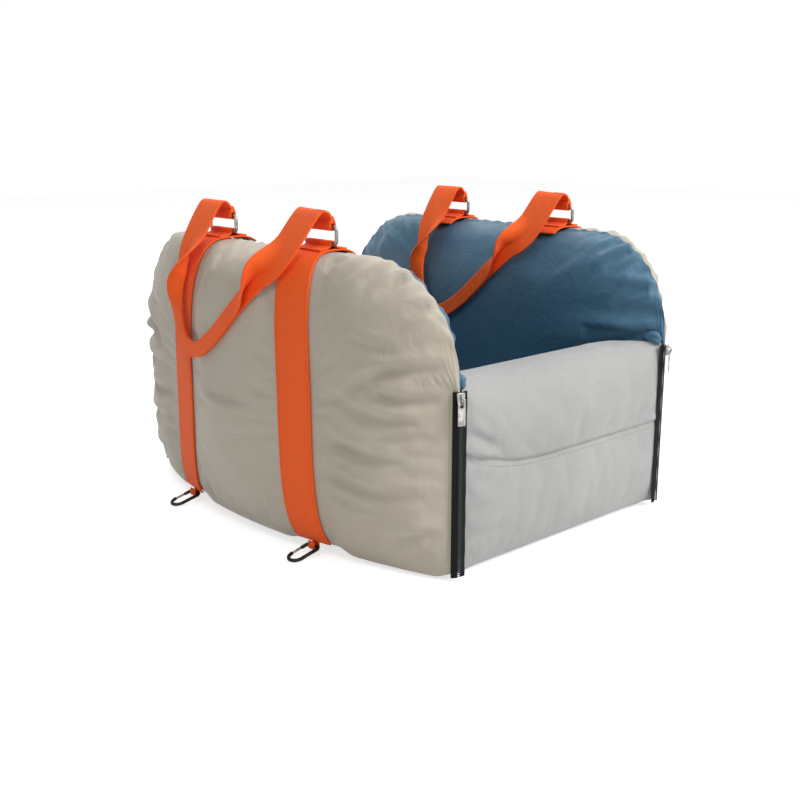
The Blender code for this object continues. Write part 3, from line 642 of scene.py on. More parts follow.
def flat_places(mesh):
    """Each point's place on its cloth (along, up) for each panel, from the pillow's map."""
    places = np.zeros((len(mesh.vertices), 2))
    uv = mesh.uv_layers.active.data
    for loop in mesh.loops:
        places[loop.vertex_index] = uv[loop.index].uv
    return places


def panel_points(mesh, panel):
    """Which points belong to the faces of one panel, the rim included, and which lie on the rim."""
    marks = mesh.attributes["panel"].data
    own, other = np.zeros(len(mesh.vertices), bool), np.zeros(len(mesh.vertices), bool)
    for face in mesh.polygons:
        (own if marks[face.index].value == panel else other)[list(face.vertices)] = True
    return own, own & other


even = np.linspace(-1, 1, WALL_COLUMNS + 1)
lines = (0.6 * even + 0.4 * np.sin(even * math.pi / 2)) * SEAT_END
wall_cloths, wall_flats = two_tables(lines, wall_column)
wall_pillow = make_pillow("wall_pillow", wall_cloths, wall_flats)
places = flat_places(wall_pillow.data)
points = points_of(wall_pillow.data)
outer, rim = panel_points(wall_pillow.data, 0)
inner = panel_points(wall_pillow.data, 1)[0] & ~rim
print("wall pillow:", len(points), "points,", int(rim.sum()), "on the seam")

# %% Say what is held and how far the rest may swell
def from_strap(points):
    """How far each point lies from the middle line of the nearer strap."""
    return np.array([abs(abs(y) - strap_middle(1, angle_at(y, z))) for _, y, z in points])


LINING_SWELL, HANDLE_SWELL, COVER_SWELL, CORNER_SWELL = 0.0040, 0.0070, 0.0140, 0.0006
strap_distance = from_strap(points)
under_strap = ramp(strap_distance, 0.036, -0.010) * (outer & ~rim)
near_foot = ramp(points[:, 2], 0.034, -0.014)
hold = np.maximum(np.maximum(rim.astype(float), near_foot), under_strap)
behind_handle = (abs(points[:, 1]) < 0.125) & (points[:, 2] > 0.17)
limit = np.where(inner, LINING_SWELL, np.where(behind_handle, HANDLE_SWELL, COVER_SWELL))
limit *= ramp(points[:, 2], 0.016, 0.04)
limit *= np.where(points[:, 2] < 0.230, ramp(SEAT_END - abs(points[:, 1]), 0.008, 0.045), 1.0)
beside_end_wall = inner & (abs(points[:, 1]) > SEAT_END - 0.105) & (points[:, 2] < 0.235)
limit[beside_end_wall] = np.minimum(limit[beside_end_wall], CORNER_SWELL)
blow_up(wall_pillow, hold, limit, pressure=7.0)


# %% [markdown]
# ### Scallop the seam round the ridge
# The seam thread is shorter than the cloth, so the seam runs in small scallops. They are made on the whole
# pillow, and both cloths share them.

# %% Scallop the seam round the ridge
SCALLOP, SCALLOP_PITCH, SCALLOP_REACH = 0.0018, 0.021, 0.014
points = points_of(wall_pillow.data)
turn = np.arctan2(points[:, 2] - 0.18, points[:, 1])
seam = points[rim & (points[:, 2] > 0.19)]
seam_turn = np.arctan2(seam[:, 2] - 0.18, seam[:, 1])
order = np.argsort(seam_turn)
run = np.concatenate([[0.0], np.cumsum(np.linalg.norm(np.diff(seam[order], axis=0), axis=1))])
along = np.interp(turn, seam_turn[order], run)
nearest = np.array([np.min(np.sum((seam - point) ** 2, axis=1)) for point in points])
wave = np.sin(2 * math.pi * along / SCALLOP_PITCH + 1.3 * np.sin(along * 23))
fade = np.exp(-nearest / SCALLOP_REACH**2) * ramp(points[:, 2], 0.225, 0.02)
fade *= ramp(strap_distance, 0.030, 0.012)
points[:, 1] += SCALLOP * wave * fade * np.cos(turn)
points[:, 2] += SCALLOP * wave * fade * np.sin(turn)
set_points(wall_pillow.data, points)
print("ridge seam", round(float(run[-1]), 3), "m")

# %% Split the pillow into its grey and blue cloths
def keep_panel(source, name, panel, side):
    """A copy of one panel of a pillow, mirrored to the left for a side of -1."""
    bm = bmesh.new()
    bm.from_mesh(source.data)
    marks = bm.faces.layers.int["panel"]
    bmesh.ops.delete(bm, geom=[face for face in bm.faces if face[marks] != panel], context="FACES")
    if side < 0:
        bmesh.ops.scale(bm, vec=(-1, 1, 1), verts=bm.verts)
        bmesh.ops.reverse_faces(bm, faces=bm.faces)
    return add_mesh(name, bm)


def rim_points(mesh):
    """Which points lie on the open rim of a cloth."""
    edges = np.empty(len(mesh.loops), int)
    mesh.loops.foreach_get("edge_index", edges)
    uses = np.bincount(edges, minlength=len(mesh.edges))
    rim = np.zeros(len(mesh.vertices), bool)
    for edge in np.flatnonzero(uses == 1):
        rim[list(mesh.edges[int(edge)].vertices)] = True
    return rim


def push_out(cloth, heights, room=np.inf):
    """Moves each point along its own normal by its height, but never past its room outwards. The rim stays, so
    the two cloths of a pillow still meet there."""
    mesh = cloth.data
    heights = np.minimum(np.where(rim_points(mesh), 0.0, heights), room)
    normals = np.empty(len(mesh.vertices) * 3)
    mesh.vertices.foreach_get("normal", normals)
    set_points(mesh, points_of(mesh) + heights[:, None] * normals.reshape(-1, 3))


# %% [markdown]
# ### Let the foot sag and finish a cloth
# The imported wall stands on the base, and real cloth hangs past it to the ground. A finished cloth is smoothed once,
# rides a body and hides the solids it replaces.

# %% Let the foot sag and finish a cloth
FOOT_DROP = 0.0075


def lower_foot(cloth, side):
    """Lets the cover sag to the ground outside the base, except where the hooks are sewn on."""
    places = points_of(cloth.data)
    depth = np.array([wall_section(y)[0] + wall_section(y)[1] - side * x for x, y, _ in places])
    near = ramp(depth, 0.040, -0.020) * ramp(places[:, 2], 0.055, -0.040)
    near *= ramp(from_strap(places), 0.032, 0.016)
    places[:, 2] -= FOOT_DROP * near * ramp(SEAT_END - abs(places[:, 1]), 0.004, 0.020)
    set_points(cloth.data, places)


def finish_cloth(cloth, material, body, nodes_replaced):
    cloth.data.shade_smooth()
    cloth.data.materials.append(material)
    add_modifier(cloth, "SUBSURF", levels=1, render_levels=1)
    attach(cloth, body)
    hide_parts(*nodes_replaced)
    print(cloth.name, len(cloth.data.polygons), "faces")


def finish_wall(cloth, wall, face, body, material):
    """Finishes a wall's outer cloth (1), or its lining (-1), which hides the filling."""
    if face > 0:
        finish_cloth(cloth, material, body, [f"{wall}_cover"])
    else:
        finish_cloth(cloth, LINING_CLOTH, body, [f"{wall}_lining", f"{wall}_filling"])


# %% [markdown]
# ### Gather the side walls' cloth at the zips and along the ridge
# The end walls pull the cloth in where the zips run, so the longest gathers start there and run level into the
# wall. Short ones sit all round the curved corners of the ridge.

# %% Gather the side walls' cloth at the zips and along the ridge
ZIP_FOOT, ZIP_TOP = 0.020, 0.220


def zip_line(end):
    """The wall's end beside its zip, on the flat cloth."""
    shares = (0, .25, .5, .75, 1)
    return [(end * (SEAT_END - 0.001), ZIP_FOOT + (ZIP_TOP - ZIP_FOOT) * share) for share in shares]


def ridge_line(end, flat):
    """The seam round a ridge corner, on the flat cloth."""
    columns = range(0, 31) if end < 0 else range(WALL_COLUMNS, WALL_COLUMNS - 31, -1)
    return [flat[column][-1] for column in columns]


# Long folds of the lining: how far from the end and how high they start, their slant from level, and their
# length, width, depth and curve.
LINING_FOLDS = (
    (0.001, 0.236, 0.28, 0.19, 0.0120, 0.0075, 0.8),
    (0.001, 0.252, -0.30, 0.16, 0.0110, 0.0062, -0.8),
    (0.008, 0.300, -0.55, 0.11, 0.0100, 0.0042, 0.8),
)


def wall_gathers(seed, face):
    """All the gathers of one cloth of a side wall."""
    rng = np.random.default_rng(seed)
    flat = wall_flats[0 if face > 0 else 1]
    made = []
    for end in (-1, 1):
        if face > 0:
            made += seam_gathers(
                rng, zip_line(end), (0.0, 0.155), 6, (0.03, 0.07), (0.0060, 0.0085), (0.0010, 0.0022),
            )
        else:
            for inset, height, slant, *shape in LINING_FOLDS:
                made.append(((end * (SEAT_END - inset), height), math.pi * (end > 0) + slant * end, *shape))
        made += seam_gathers(
            rng, ridge_line(end, flat), (0.0, 0.20), 12, (0.040, 0.085), (0.0060, 0.0090), (0.0018, 0.0036),
        )
    ridge = [flat[column][-1] for column in range(29, WALL_COLUMNS - 28)]
    made += seam_gathers(rng, ridge, (0.0, 0.0), 12, (0.03, 0.08), (0.007, 0.011), (0.0010, 0.0022))
    return made


# %% [markdown]
# ### Lay level folds beside the zips
# The photograph shows long soft folds between the front strap and the zip. Each is a valley with a lip on both
# sides, led through three places measured from the zip, and it fades out at both of its ends.

# %% Lay level folds beside the zips
ZIP_FOLDS = (
    ((0.006, 0.246), (0.055, 0.238), (0.112, 0.218), 0.0085, 0.0075),
    ((0.008, 0.214), (0.050, 0.208), (0.098, 0.228), 0.0080, 0.0060),
    ((0.030, 0.184), (0.085, 0.188), (0.140, 0.208), 0.0085, 0.0055),
    ((0.016, 0.168), (0.045, 0.166), (0.085, 0.158), 0.0075, 0.0045),
    ((0.045, 0.142), (0.105, 0.145), (0.166, 0.163), 0.0090, 0.0052),
    ((0.025, 0.103), (0.090, 0.101), (0.160, 0.122), 0.0090, 0.0055),
    ((0.070, 0.082), (0.120, 0.086), (0.160, 0.094), 0.0080, 0.0036),
    ((0.008, 0.060), (0.035, 0.052), (0.070, 0.046), 0.0080, 0.0045),
    ((0.006, 0.314), (0.024, 0.309), (0.050, 0.302), 0.0075, 0.0034),
    ((0.050, 0.262), (0.078, 0.264), (0.112, 0.272), 0.0080, 0.0032),
    ((0.150, 0.060), (0.190, 0.066), (0.235, 0.060), 0.0100, 0.0030),
)


def level_folds(from_zip, up, folds, skew, upper, lower):
    """Heights of folds through three places. Each lip is given by its height and its distance from the valley."""
    total = np.zeros(len(up))
    for *places, width, depth in folds:
        first, middle, last = places
        curve = np.polyfit([first[0], middle[0], last[0]], [first[1], middle[1], last[1]], 2)
        offset = (up - np.polyval(curve, from_zip)) / width
        run = np.clip((from_zip - first[0]) / (last[0] - first[0]), 0, 1)
        fade = np.sin(math.pi * run**skew) ** 0.8
        lips = upper[0] * np.exp(-(offset - upper[1]) ** 2) + lower[0] * np.exp(-(offset + lower[1]) ** 2)
        total += depth * fade * (lips - 1.1 * np.exp(-(1.3 * offset) ** 2))
    return total


def wall_fold_heights(points, end, jitter, rng):
    """The folds beside one zip, each a little higher or lower than in the table where there is a jitter."""
    folds = ZIP_FOLDS
    if jitter:
        folds = [
            (*((y, z + rng.uniform(-jitter, jitter)) for y, z in fold[:3]), *fold[3:]) for fold in ZIP_FOLDS
        ]
    return level_folds(SEAT_END - end * points[:, 1], points[:, 2], folds, 0.8, (0.75, 1.35), (0.35, 1.5))


# %% [markdown]
# ### Make the side walls' cloths
# Each cloth is one panel of the pillow, mirrored for the left wall. It gets its gathers, and the outer one its folds,
# which die out under the straps and beside the zips.

# %% Make the side walls' cloths
PANELS = ((0, "cover", 1), (1, "lining", -1))
for side_word, side in SIDES:
    for panel, kind, face in PANELS:
        cloth = keep_panel(wall_pillow, f"{side_word}_wall_{kind}_cloth", panel, side)
        at, where = flat_places(cloth.data), points_of(cloth.data)
        heights = gather_heights(at, wall_gathers(20 + 2 * side + panel, face))
        rng = np.random.default_rng(31 + side)
        for end in (-1, 1):
            if face > 0:
                heights += wall_fold_heights(where, end, 0.0 if (side, end) == (-1, -1) else 0.008, rng)
        calm = np.ones(len(at))
        if face > 0:
            calm = ramp(from_strap(where), 0.026, 0.012)
            beside_zip = (where[:, 2] < ZIP_TOP + 0.010) & (where[:, 2] > 0)
            calm *= np.where(beside_zip, ramp(SEAT_END - abs(where[:, 1]), 0.007, 0.012), 1.0)
        calm *= ramp(where[:, 2], 0.018, 0.02)
        low = (where[:, 2] < 0.235) & (abs(where[:, 1]) > SEAT_END - 0.105) & (face < 0)
        push_out(cloth, heights * calm, np.where(low, 0.0, 0.006))
        if face > 0:
            lower_foot(cloth, side)
        finish_wall(cloth, f"{side_word}_wall", face, "base", OUTER_CLOTH)
bpy.data.objects.remove(wall_pillow)

# %% [markdown]
# ## End walls
# The low front and rear walls are pillows too, grey outside and blue inside, and unzip and fold down flat. Their
# grey face is sewn from two pieces, so a level seam crosses it, which dips in the middle and rises to the zip.

# %% Lay out the two cloths of an end wall
FLAP_HEIGHT, FLAP_THICKNESS, FLAP_CLEARANCE = 0.214, 0.090, 0.003
FLAP_END_POWER, FLAP_POWER, FLAP_SLANT = 14.0, 5.0, 0.45
FLAP_ROWS, SEAM_STEP = 50, 0.0026
FLAP_LINING_SWELL, FLAP_COVER_SWELL = 0.0022, 0.0115


def flap_half_width(depth):
    """Half an end wall's width at this depth from its outer face."""
    middle, half, _, _ = wall_section(SEAT_END - max(0.0, depth))
    return middle - half - FLAP_CLEARANCE


def flap_arc(across, face, inset):
    """Fine points from the foot up one face (1 outer, -1 inner) to the crown, for the front wall."""
    closing = math.sqrt(max(0.0, 1 - abs(across) ** FLAP_END_POWER))
    angle = np.linspace(-math.pi / 2, math.pi / 2, 121)
    half_depth = (FLAP_THICKNESS / 2 - inset) * closing
    depth = inset + half_depth * (1 - face * signed_power(np.cos(angle), 2 / FLAP_POWER))
    z = BASE_LIFT + FLAP_HEIGHT / 2 + (FLAP_HEIGHT / 2 - inset) * signed_power(np.sin(angle), 2 / FLAP_POWER)
    half_width = np.array([flap_half_width(d) for d in depth]) - inset * FLAP_SLANT
    return np.stack([across * half_width, -(SEAT_END - depth), z], axis=1)


def seam_height(x):
    """The front seam's height: low in the middle, rising towards the left zip."""
    return 0.119 + 0.034 * max(0.0, -x / CORNER_X) ** 3


def flap_lines():
    """Where the columns stand across an end wall, from -1 to 1, closer together near its ends."""
    end = [(1 - share**2) ** (1 / FLAP_END_POWER) for share in np.linspace(0, 0.93, 13)]
    middle = list(np.linspace(end[-1], 0, 25))[1:]
    right = end + middle
    return [-line for line in right] + right[-2::-1]


def flap_column(across, face):
    """One column from the foot to the crown. The grey cloth has a row of points right on its seam."""
    arc = flap_arc(across, face, CLOTH_INSET)
    shares = np.linspace(0, 1, FLAP_ROWS + 1)
    if face > 0:
        travel = np.concatenate([[0.0], np.cumsum(np.linalg.norm(np.diff(arc, axis=0), axis=1))])
        seam = np.interp(seam_height(across * CORNER_X), arc[:, 2], travel) / travel[-1]
        step = SEAM_STEP / travel[-1]
        below = FLAP_ROWS // 2
        shares = np.concatenate([
            np.linspace(0, seam - step, below), [seam], np.linspace(seam + step, 1, FLAP_ROWS - below),
        ])
    points, length = resample(arc, shares)
    return points, [(across * CORNER_X, share * length) for share in shares]


# %% [markdown]
# ### Blow up an end wall
# The seams, the foot, both ends and the level seam are held, and the rest may swell a little.

# %% Blow up an end wall
flap_cloths, flap_flats = two_tables(flap_lines(), flap_column)
flap_pillow = make_pillow("flap_pillow", flap_cloths, flap_flats)
points = points_of(flap_pillow.data)
outer, rim = panel_points(flap_pillow.data, 0)
inner = panel_points(flap_pillow.data, 1)[0] & ~rim
from_end = CORNER_X - abs(points[:, 0])
on_seam = np.array([abs(z - seam_height(x)) < 0.0008 for x, _, z in points])
on_seam &= outer & (points[:, 1] < -SEAT_END + 0.04)
near_foot = ramp(points[:, 2], 0.030, -0.012)
near_end = ramp(from_end, 0.016, -0.010)
hold = np.maximum.reduce([rim.astype(float), near_foot, near_end, on_seam.astype(float)])
limit = np.where(inner, FLAP_LINING_SWELL, FLAP_COVER_SWELL) * ramp(points[:, 2], 0.016, 0.03)
limit *= ramp(from_end, 0.006, 0.03)
print("end wall pillow:", len(points), "points,", int(on_seam.sum()), "on the front seam")
blow_up(flap_pillow, hold, limit, pressure=6.0, slack=0.012)


# %% [markdown]
# ### Wrap the grey cloth over the crown
# In the photograph the grey cloth runs over the top of the end wall, so the faces up there join its panel.

# %% Wrap the grey cloth over the crown
CROWN_REACH = 0.012
marks = flap_pillow.data.attributes["panel"].data
crown = [face.index for face in flap_pillow.data.polygons if face.center.z > BASE_LIFT + FLAP_HEIGHT - CROWN_REACH]
for index in crown:
    marks[index].value = 0
print("grey faces over the crown:", len(crown))


# %% Gather and finish the end walls
def flap_gathers(seed):
    """All the gathers of an end wall's outer cloth."""
    rng = np.random.default_rng(seed)
    made = []
    for side in (-1, 1):
        line = [(side * 0.183, height + 0.04) for height in (0.03, 0.08, 0.13, 0.18)]
        made += seam_gathers(
            rng, line, (0.0, 0.12), 8, (0.04, 0.10), (0.0065, 0.0095), (0.0016, 0.0034),
        )
        made.append(((side * 0.176, 0.150), math.pi * (side > 0) + 0.45 * side, 0.075, 0.009, 0.0040, -2.0))
        made.append(((side * 0.176, 0.105), math.pi * (side > 0) - 0.20 * side, 0.080, 0.008, 0.0026, 2.0))
    return made


# %% Lay level folds at both ends
FLAP_FOLDS = (
    ((0.004, 0.172), (0.035, 0.160), (0.072, 0.136), 0.0080, 0.0050),
    ((0.006, 0.140), (0.040, 0.136), (0.085, 0.128), 0.0060, 0.0036),
    ((0.010, 0.082), (0.035, 0.080), (0.060, 0.083), 0.0070, 0.0026),
    ((0.012, 0.046), (0.050, 0.050), (0.090, 0.046), 0.0080, 0.0022),
)


def flap_fold_heights(points):
    """Level folds at both ends of an end wall's outer face, full at the left one and half as deep at the right."""
    total = np.zeros(len(points))
    for side, share in ((-1, 1.0), (1, 0.5)):
        from_end = CORNER_X - side * points[:, 0]
        total += share * level_folds(from_end, points[:, 2], FLAP_FOLDS, 0.7, (0.7, 1.4), (0.4, 1.4))
    return np.where(points[:, 1] < -SEAT_END + 0.05, total, 0.0)


# %% [markdown]
# ### Make the end walls' cloths
# The folds and gathers go in, the level seam is pressed in as a groove with a lip above it, and the rear wall is the
# front one turned round.

# %% Make the end walls' cloths
FLAP_DROP = 0.0092


def lower_flap_foot(cloth):
    """Lets the end wall's cover hang to the ground in front of its hinge."""
    places = points_of(cloth.data)
    depth = SEAT_END + places[:, 1]
    near = ramp(depth, 0.030, -0.014) * ramp(places[:, 2], 0.054, -0.040)
    places[:, 2] -= FLAP_DROP * near * ramp(CORNER_X - abs(places[:, 0]), 0.004, 0.020)
    set_points(cloth.data, places)


for end_word, end in ENDS:
    for panel, kind, face in PANELS:
        cloth = keep_panel(flap_pillow, f"{end_word}_wall_{kind}_cloth", panel, 1)
        at, where = flat_places(cloth.data), points_of(cloth.data)
        heights = np.zeros(len(at))
        if face > 0:
            heights = 0.5 * gather_heights(at, flap_gathers(40 + end)) + flap_fold_heights(where)
        heights *= ramp(CORNER_X - abs(where[:, 0]), 0.010, 0.012)
        heights *= ramp(where[:, 2], 0.016, 0.02)
        if face > 0:
            gap = np.array([z - seam_height(x) for x, _, z in where])
            front_face = where[:, 1] < -SEAT_END + 0.06
            heights = np.where(front_face & (abs(gap) < 0.0012), -0.0030, heights)
            heights = np.where(front_face & (gap > 0.0012) & (gap < 0.012), heights + 0.0012, heights)
        push_out(cloth, heights, 0.006)
        if face > 0:
            lower_flap_foot(cloth)
        if end > 0:
            cloth.data.transform(Matrix.Rotation(math.pi, 4, "Z"))
        finish_wall(cloth, f"{end_word}_wall", face, f"{end_word}_wall", END_CLOTH)
bpy.data.objects.remove(flap_pillow)

# %% [markdown]
# ## Corner gussets
# Above each zip a fold of the blue lining bridges the side wall and the end wall, and shows as a small blue
# corner. It is a flattened pad with a few pleats, which tapers off along the side wall.

# %% Make the gussets
GUSSET_SIZE, GUSSET_TAPER = (0.0080, 0.0150, 0.0125), 0.55


def new_piece(name, bm, material, body):
    """A smooth piece of one material that rides a body."""
    piece = add_mesh(name, bm)
    piece.data.shade_smooth()
    piece.data.materials.append(material)
    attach(piece, body)
    return piece


for end_word, end in ENDS:
    for side_word, side in SIDES:
        bm = bmesh.new()
        place = Matrix.Translation((side * (CORNER_X - 0.0085), end * (SEAT_END - 0.0155), ZIP_TOP + 0.0080))
        made = bmesh.ops.create_icosphere(bm, subdivisions=4, radius=1.0)["verts"]
        for vert in made:
            vert.co *= 1 + 0.07 * math.sin(9 * vert.co.z + 4 * vert.co.x * side) * (1 - abs(vert.co.z))
            width = 1 - GUSSET_TAPER * (1 - vert.co.y * end) / 2
            vert.co.x, vert.co.z = vert.co.x * width, vert.co.z * width
        bmesh.ops.transform(bm, matrix=place @ Matrix.Diagonal((*GUSSET_SIZE, 1)), verts=made)
        gusset = new_piece(f"{end_word}_{side_word}_gusset", bm, LINING_CLOTH, "base")
print("gussets", [round(2 * size, 4) for size in GUSSET_SIZE], "m")

# %% [markdown]
# ## Webbing
# Orange webbing, 50 mm wide, crosses each side wall twice and makes the carry handles. Cloth simulation would
# lose such thin straps, so each is a grid laid on the wall's own formula and given its thickness. Its map runs
# across and along the strap in metres, so the cords of the weave follow every bend.

# %% A band from rows of points
WEBBING_THICKNESS, STRAP_STAND = 0.0022, 0.0006


def travelled(line):
    """How far each point lies along a line."""
    travel = [0.0]
    for first, second in zip(line, line[1:]):
        travel.append(travel[-1] + (second - first).length)
    return travel


def band_mesh(rows):
    """A grid through these rows of points. The map is in metres: X across the band and Y along it."""
    columns = [[Vector(point) for point in column] for column in zip(*rows)]
    run, reach = travelled(columns[(len(columns) - 1) // 2]), travelled([column[0] for column in columns])
    bm = bmesh.new()
    add_grid(bm, columns, [[(across, along) for along in run] for across in reach])
    return bm


def make_band(name, rows, material, body, thickness=WEBBING_THICKNESS, rounded=1):
    """A band with a thickness and softened edges."""
    band = new_piece(name, band_mesh(rows), material, body)
    add_modifier(band, "SOLIDIFY", thickness=thickness, offset=0.0, use_even_offset=True)
    add_modifier(
        band, "BEVEL", width=thickness * 0.3, segments=2, limit_method="ANGLE", angle_limit=math.radians(50),
    )
    if rounded:
        add_modifier(band, "SUBSURF", levels=1, render_levels=1)
    return band


def wall_point(side, y, angle, inset):
    """A point on the outer face (angle under 90 degrees) or inner face of a side wall."""
    middle, half, foot, top = wall_section(y, inset)
    power = RIDGE_POWER if math.sin(angle) > 0 else FOOT_POWER
    x = middle + half * float(signed_power(math.cos(angle), 2 / power))
    z = (top + foot) / 2 + (top - foot) / 2 * float(signed_power(math.sin(angle), 2 / power))
    return Vector((side * x, y, z))


# %% [markdown]
# ### Rows of points up a strap
# A strap follows the wall's own section, lifted off it by a hair, and is a row of points at each step up.

# %% Rows of points up a strap
STRAP_ROWS, STRAP_COLUMNS = 72, 10


def strap_rows(side, end, lift, margin=0.0):
    """Rows of points up a strap, lifted off the wall, less a margin at both edges."""
    rows = []
    for up in np.linspace(0, 1, STRAP_ROWS + 1):
        angle = STRAP_FOOT_ANGLE + float(up) * (STRAP_TAIL_ANGLE - STRAP_FOOT_ANGLE)
        middle = float(strap_middle(end, angle))
        rows.append([
            wall_point(side, middle + float(across) * (WEBBING_WIDTH - 2 * margin), angle, -lift)
            for across in np.linspace(-0.5, 0.5, STRAP_COLUMNS + 1)
        ])
    return rows


# %% [markdown]
# ### A row of stitches
# Each stitch is a small stretched ball that lies along the line, at even steps whatever the points' own spacing.

# %% A row of stitches
STITCH_LENGTH, STITCH_PITCH, STITCH_RADIUS = 0.0030, 0.0042, 0.00035


def add_stitches(bm, points, outward):
    """Small stretched balls of thread at even steps along a line of points, lying on the surface."""
    line = [Vector(point) for point in points]
    travel = travelled(line)
    index = 0
    for number in range(int(travel[-1] / STITCH_PITCH)):
        target = (number + 0.5) * STITCH_PITCH
        while index < len(line) - 2 and travel[index + 1] < target:
            index += 1
        share = (target - travel[index]) / max(travel[index + 1] - travel[index], 1e-9)
        along = (line[index + 1] - line[index]).normalized()
        out = Vector(outward[min(index, len(outward) - 1)]).normalized()
        across = out.cross(along).normalized()
        axes = Matrix((along, across, along.cross(across))).transposed().to_4x4()
        axes.translation = line[index].lerp(line[index + 1], share)
        scale = Matrix.Diagonal((STITCH_LENGTH / 2, STITCH_RADIUS, STITCH_RADIUS, 1))
        bmesh.ops.create_icosphere(bm, subdivisions=1, radius=1.0, matrix=axes @ scale)


# %% Make the straps
SEAM_MARGIN = 0.0032
for side_word, side in SIDES:
    for end_word, end in ENDS:
        name = f"{side_word}_{end_word}_strap"
        rows = strap_rows(side, end, STRAP_STAND + WEBBING_THICKNESS / 2)
        strap = make_band(f"{name}_webbing", rows, ORANGE_WEBBING, "base")
        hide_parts(name)
        bm = bmesh.new()
        sewn = strap_rows(side, end, STRAP_STAND + WEBBING_THICKNESS + 0.0001, SEAM_MARGIN)
        beyond = strap_rows(side, end, STRAP_STAND + 0.02, SEAM_MARGIN)
        for column in (0, -1):
            outward = [far[column] - near[column] for far, near in zip(beyond, sewn)]
            add_stitches(bm, [row[column] for row in sewn], outward)
        add_stitches(bm, sewn[2], [beyond[2][0] - sewn[2][0]])
        new_piece(f"{name}_stitches", bm, ORANGE_THREAD, "base")

# %% [markdown]
# ## Rings and their webbing loops
# A bent wire ring stands on each strap where it crosses the ridge, held by a short loop of webbing whose two
# tails are sewn down on the strap. The ring is a swept wire; the loop is one band bent round its lower bar.

# %% Where the rings stand
RING_INNER_WIDTH, RING_BAR_SPACING, RING_WIRE, RING_CORNER = 0.053, 0.020, 0.0022, 0.005
LOOP_LENGTH, LOOP_INNER = 0.046, 0.0026
LOOP_MIDDLE = LOOP_INNER + WEBBING_THICKNESS / 2
SMALL_GAP = 0.0003


def ring_bar(side, y, upper):
    """The middle of a ring's lower (0) or upper (1) bar."""
    middle, _, _, top = wall_section(STRAP_SPACING / 2)
    lower = top + STRAP_STAND + SMALL_GAP + 2 * WEBBING_THICKNESS + LOOP_INNER
    return Vector((side * middle, y, lower + upper * RING_BAR_SPACING))


def sweep_wire(name, path, radius, material, body, closed=False):
    """A smooth round wire along a path, made a mesh."""
    curve = bpy.data.curves.new(name, "CURVE")
    set_all(curve, dimensions="3D", bevel_depth=radius, bevel_resolution=5, use_fill_caps=True)
    spline = curve.splines.new("POLY")
    spline.points.add(len(path) - 1)
    for point, place in zip(spline.points, path):
        point.co = (*place, 1)
    spline.use_cyclic_u = closed
    wire_object = add_object(name + "_path", curve)
    mesh = bpy.data.meshes.new_from_object(wire_object.evaluated_get(bpy.context.evaluated_depsgraph_get()))
    bpy.data.objects.remove(wire_object)
    bm = bmesh.new()
    bm.from_mesh(mesh)
    bpy.data.meshes.remove(mesh)
    bmesh.ops.remove_doubles(bm, verts=bm.verts, dist=radius * 0.01)
    bmesh.ops.recalc_face_normals(bm, faces=bm.faces)
    return new_piece(name, bm, material, body)


# %% The line of a ring
def ring_path(side, y):
    """The middle line of a ring's wire."""
    half_width = RING_INNER_WIDTH / 2 + RING_WIRE - RING_CORNER
    half_height = RING_BAR_SPACING / 2 - RING_CORNER
    centre = (ring_bar(side, y, 0) + ring_bar(side, y, 1)) / 2
    path = []
    for corner in range(4):
        sign_y, sign_z = (1 if corner in (0, 3) else -1), (1 if corner in (0, 1) else -1)
        for step in range(9):
            angle = math.pi / 2 * (corner + step / 8)
            path.append(centre + Vector((
                0, sign_y * half_width + RING_CORNER * math.cos(angle),
                sign_z * half_height + RING_CORNER * math.sin(angle),
            )))
    return path


def arc_points(radius, first, last, steps):
    """Points on a circle about the bar, in degrees from +X."""
    turns = np.radians(np.linspace(first, last, steps + 1))
    return [(radius * math.cos(turn), radius * math.sin(turn)) for turn in turns]


def profile_band(name, centre, side, profile, width, material, body, thickness=WEBBING_THICKNESS):
    """A band whose side view is this profile of (out, up) points round a centre, this wide along Y."""
    rows = [
        [(centre.x + side * out, centre.y + float(across) * width, centre.z + up)
         for across in np.linspace(-0.5, 0.5, 7)]
        for out, up in profile
    ]
    return make_band(name, rows, material, body, thickness)


# %% Make the rings and their loops
strap_top = -(LOOP_MIDDLE + WEBBING_THICKNESS / 2 + SMALL_GAP) + WEBBING_THICKNESS / 2
low_loop = [(-0.0200, strap_top - 0.0014), (-0.0150, strap_top - 0.0009), (-0.0100, strap_top - 0.0002),
            (-0.0062, strap_top + 0.0010)]
low_loop += arc_points(LOOP_MIDDLE, 205, -25, 12)
low_loop += [(-out, up) for out, up in reversed(low_loop[:4])]
for side_word, side in SIDES:
    for end_word, end in ENDS:
        name = f"{side_word}_{end_word}_ring"
        y = end * STRAP_SPACING / 2
        ring = sweep_wire(f"{name}_wire", ring_path(side, y), RING_WIRE, NICKEL, f"{side_word}_rings", True)
        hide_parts(name)
        loop = profile_band(
            f"{name}_loop_webbing", ring_bar(side, y, 0), side, low_loop, LOOP_LENGTH, ORANGE_WEBBING, "base",
        )
        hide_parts(f"{name}_loop")
print("ring centre height", round((ring_bar(1, 0, 0).z + ring_bar(1, 0, 1).z) / 2, 4))

# %% [markdown]
# ## Carry handles
# Each handle is one strap of webbing, sewn round the upper bars of two rings. Near the rings it lies flat and
# arches up. Further on it is folded in half lengthwise, which makes a narrow grip of two layers, so its section
# is turned about the fold little by little along the strap.

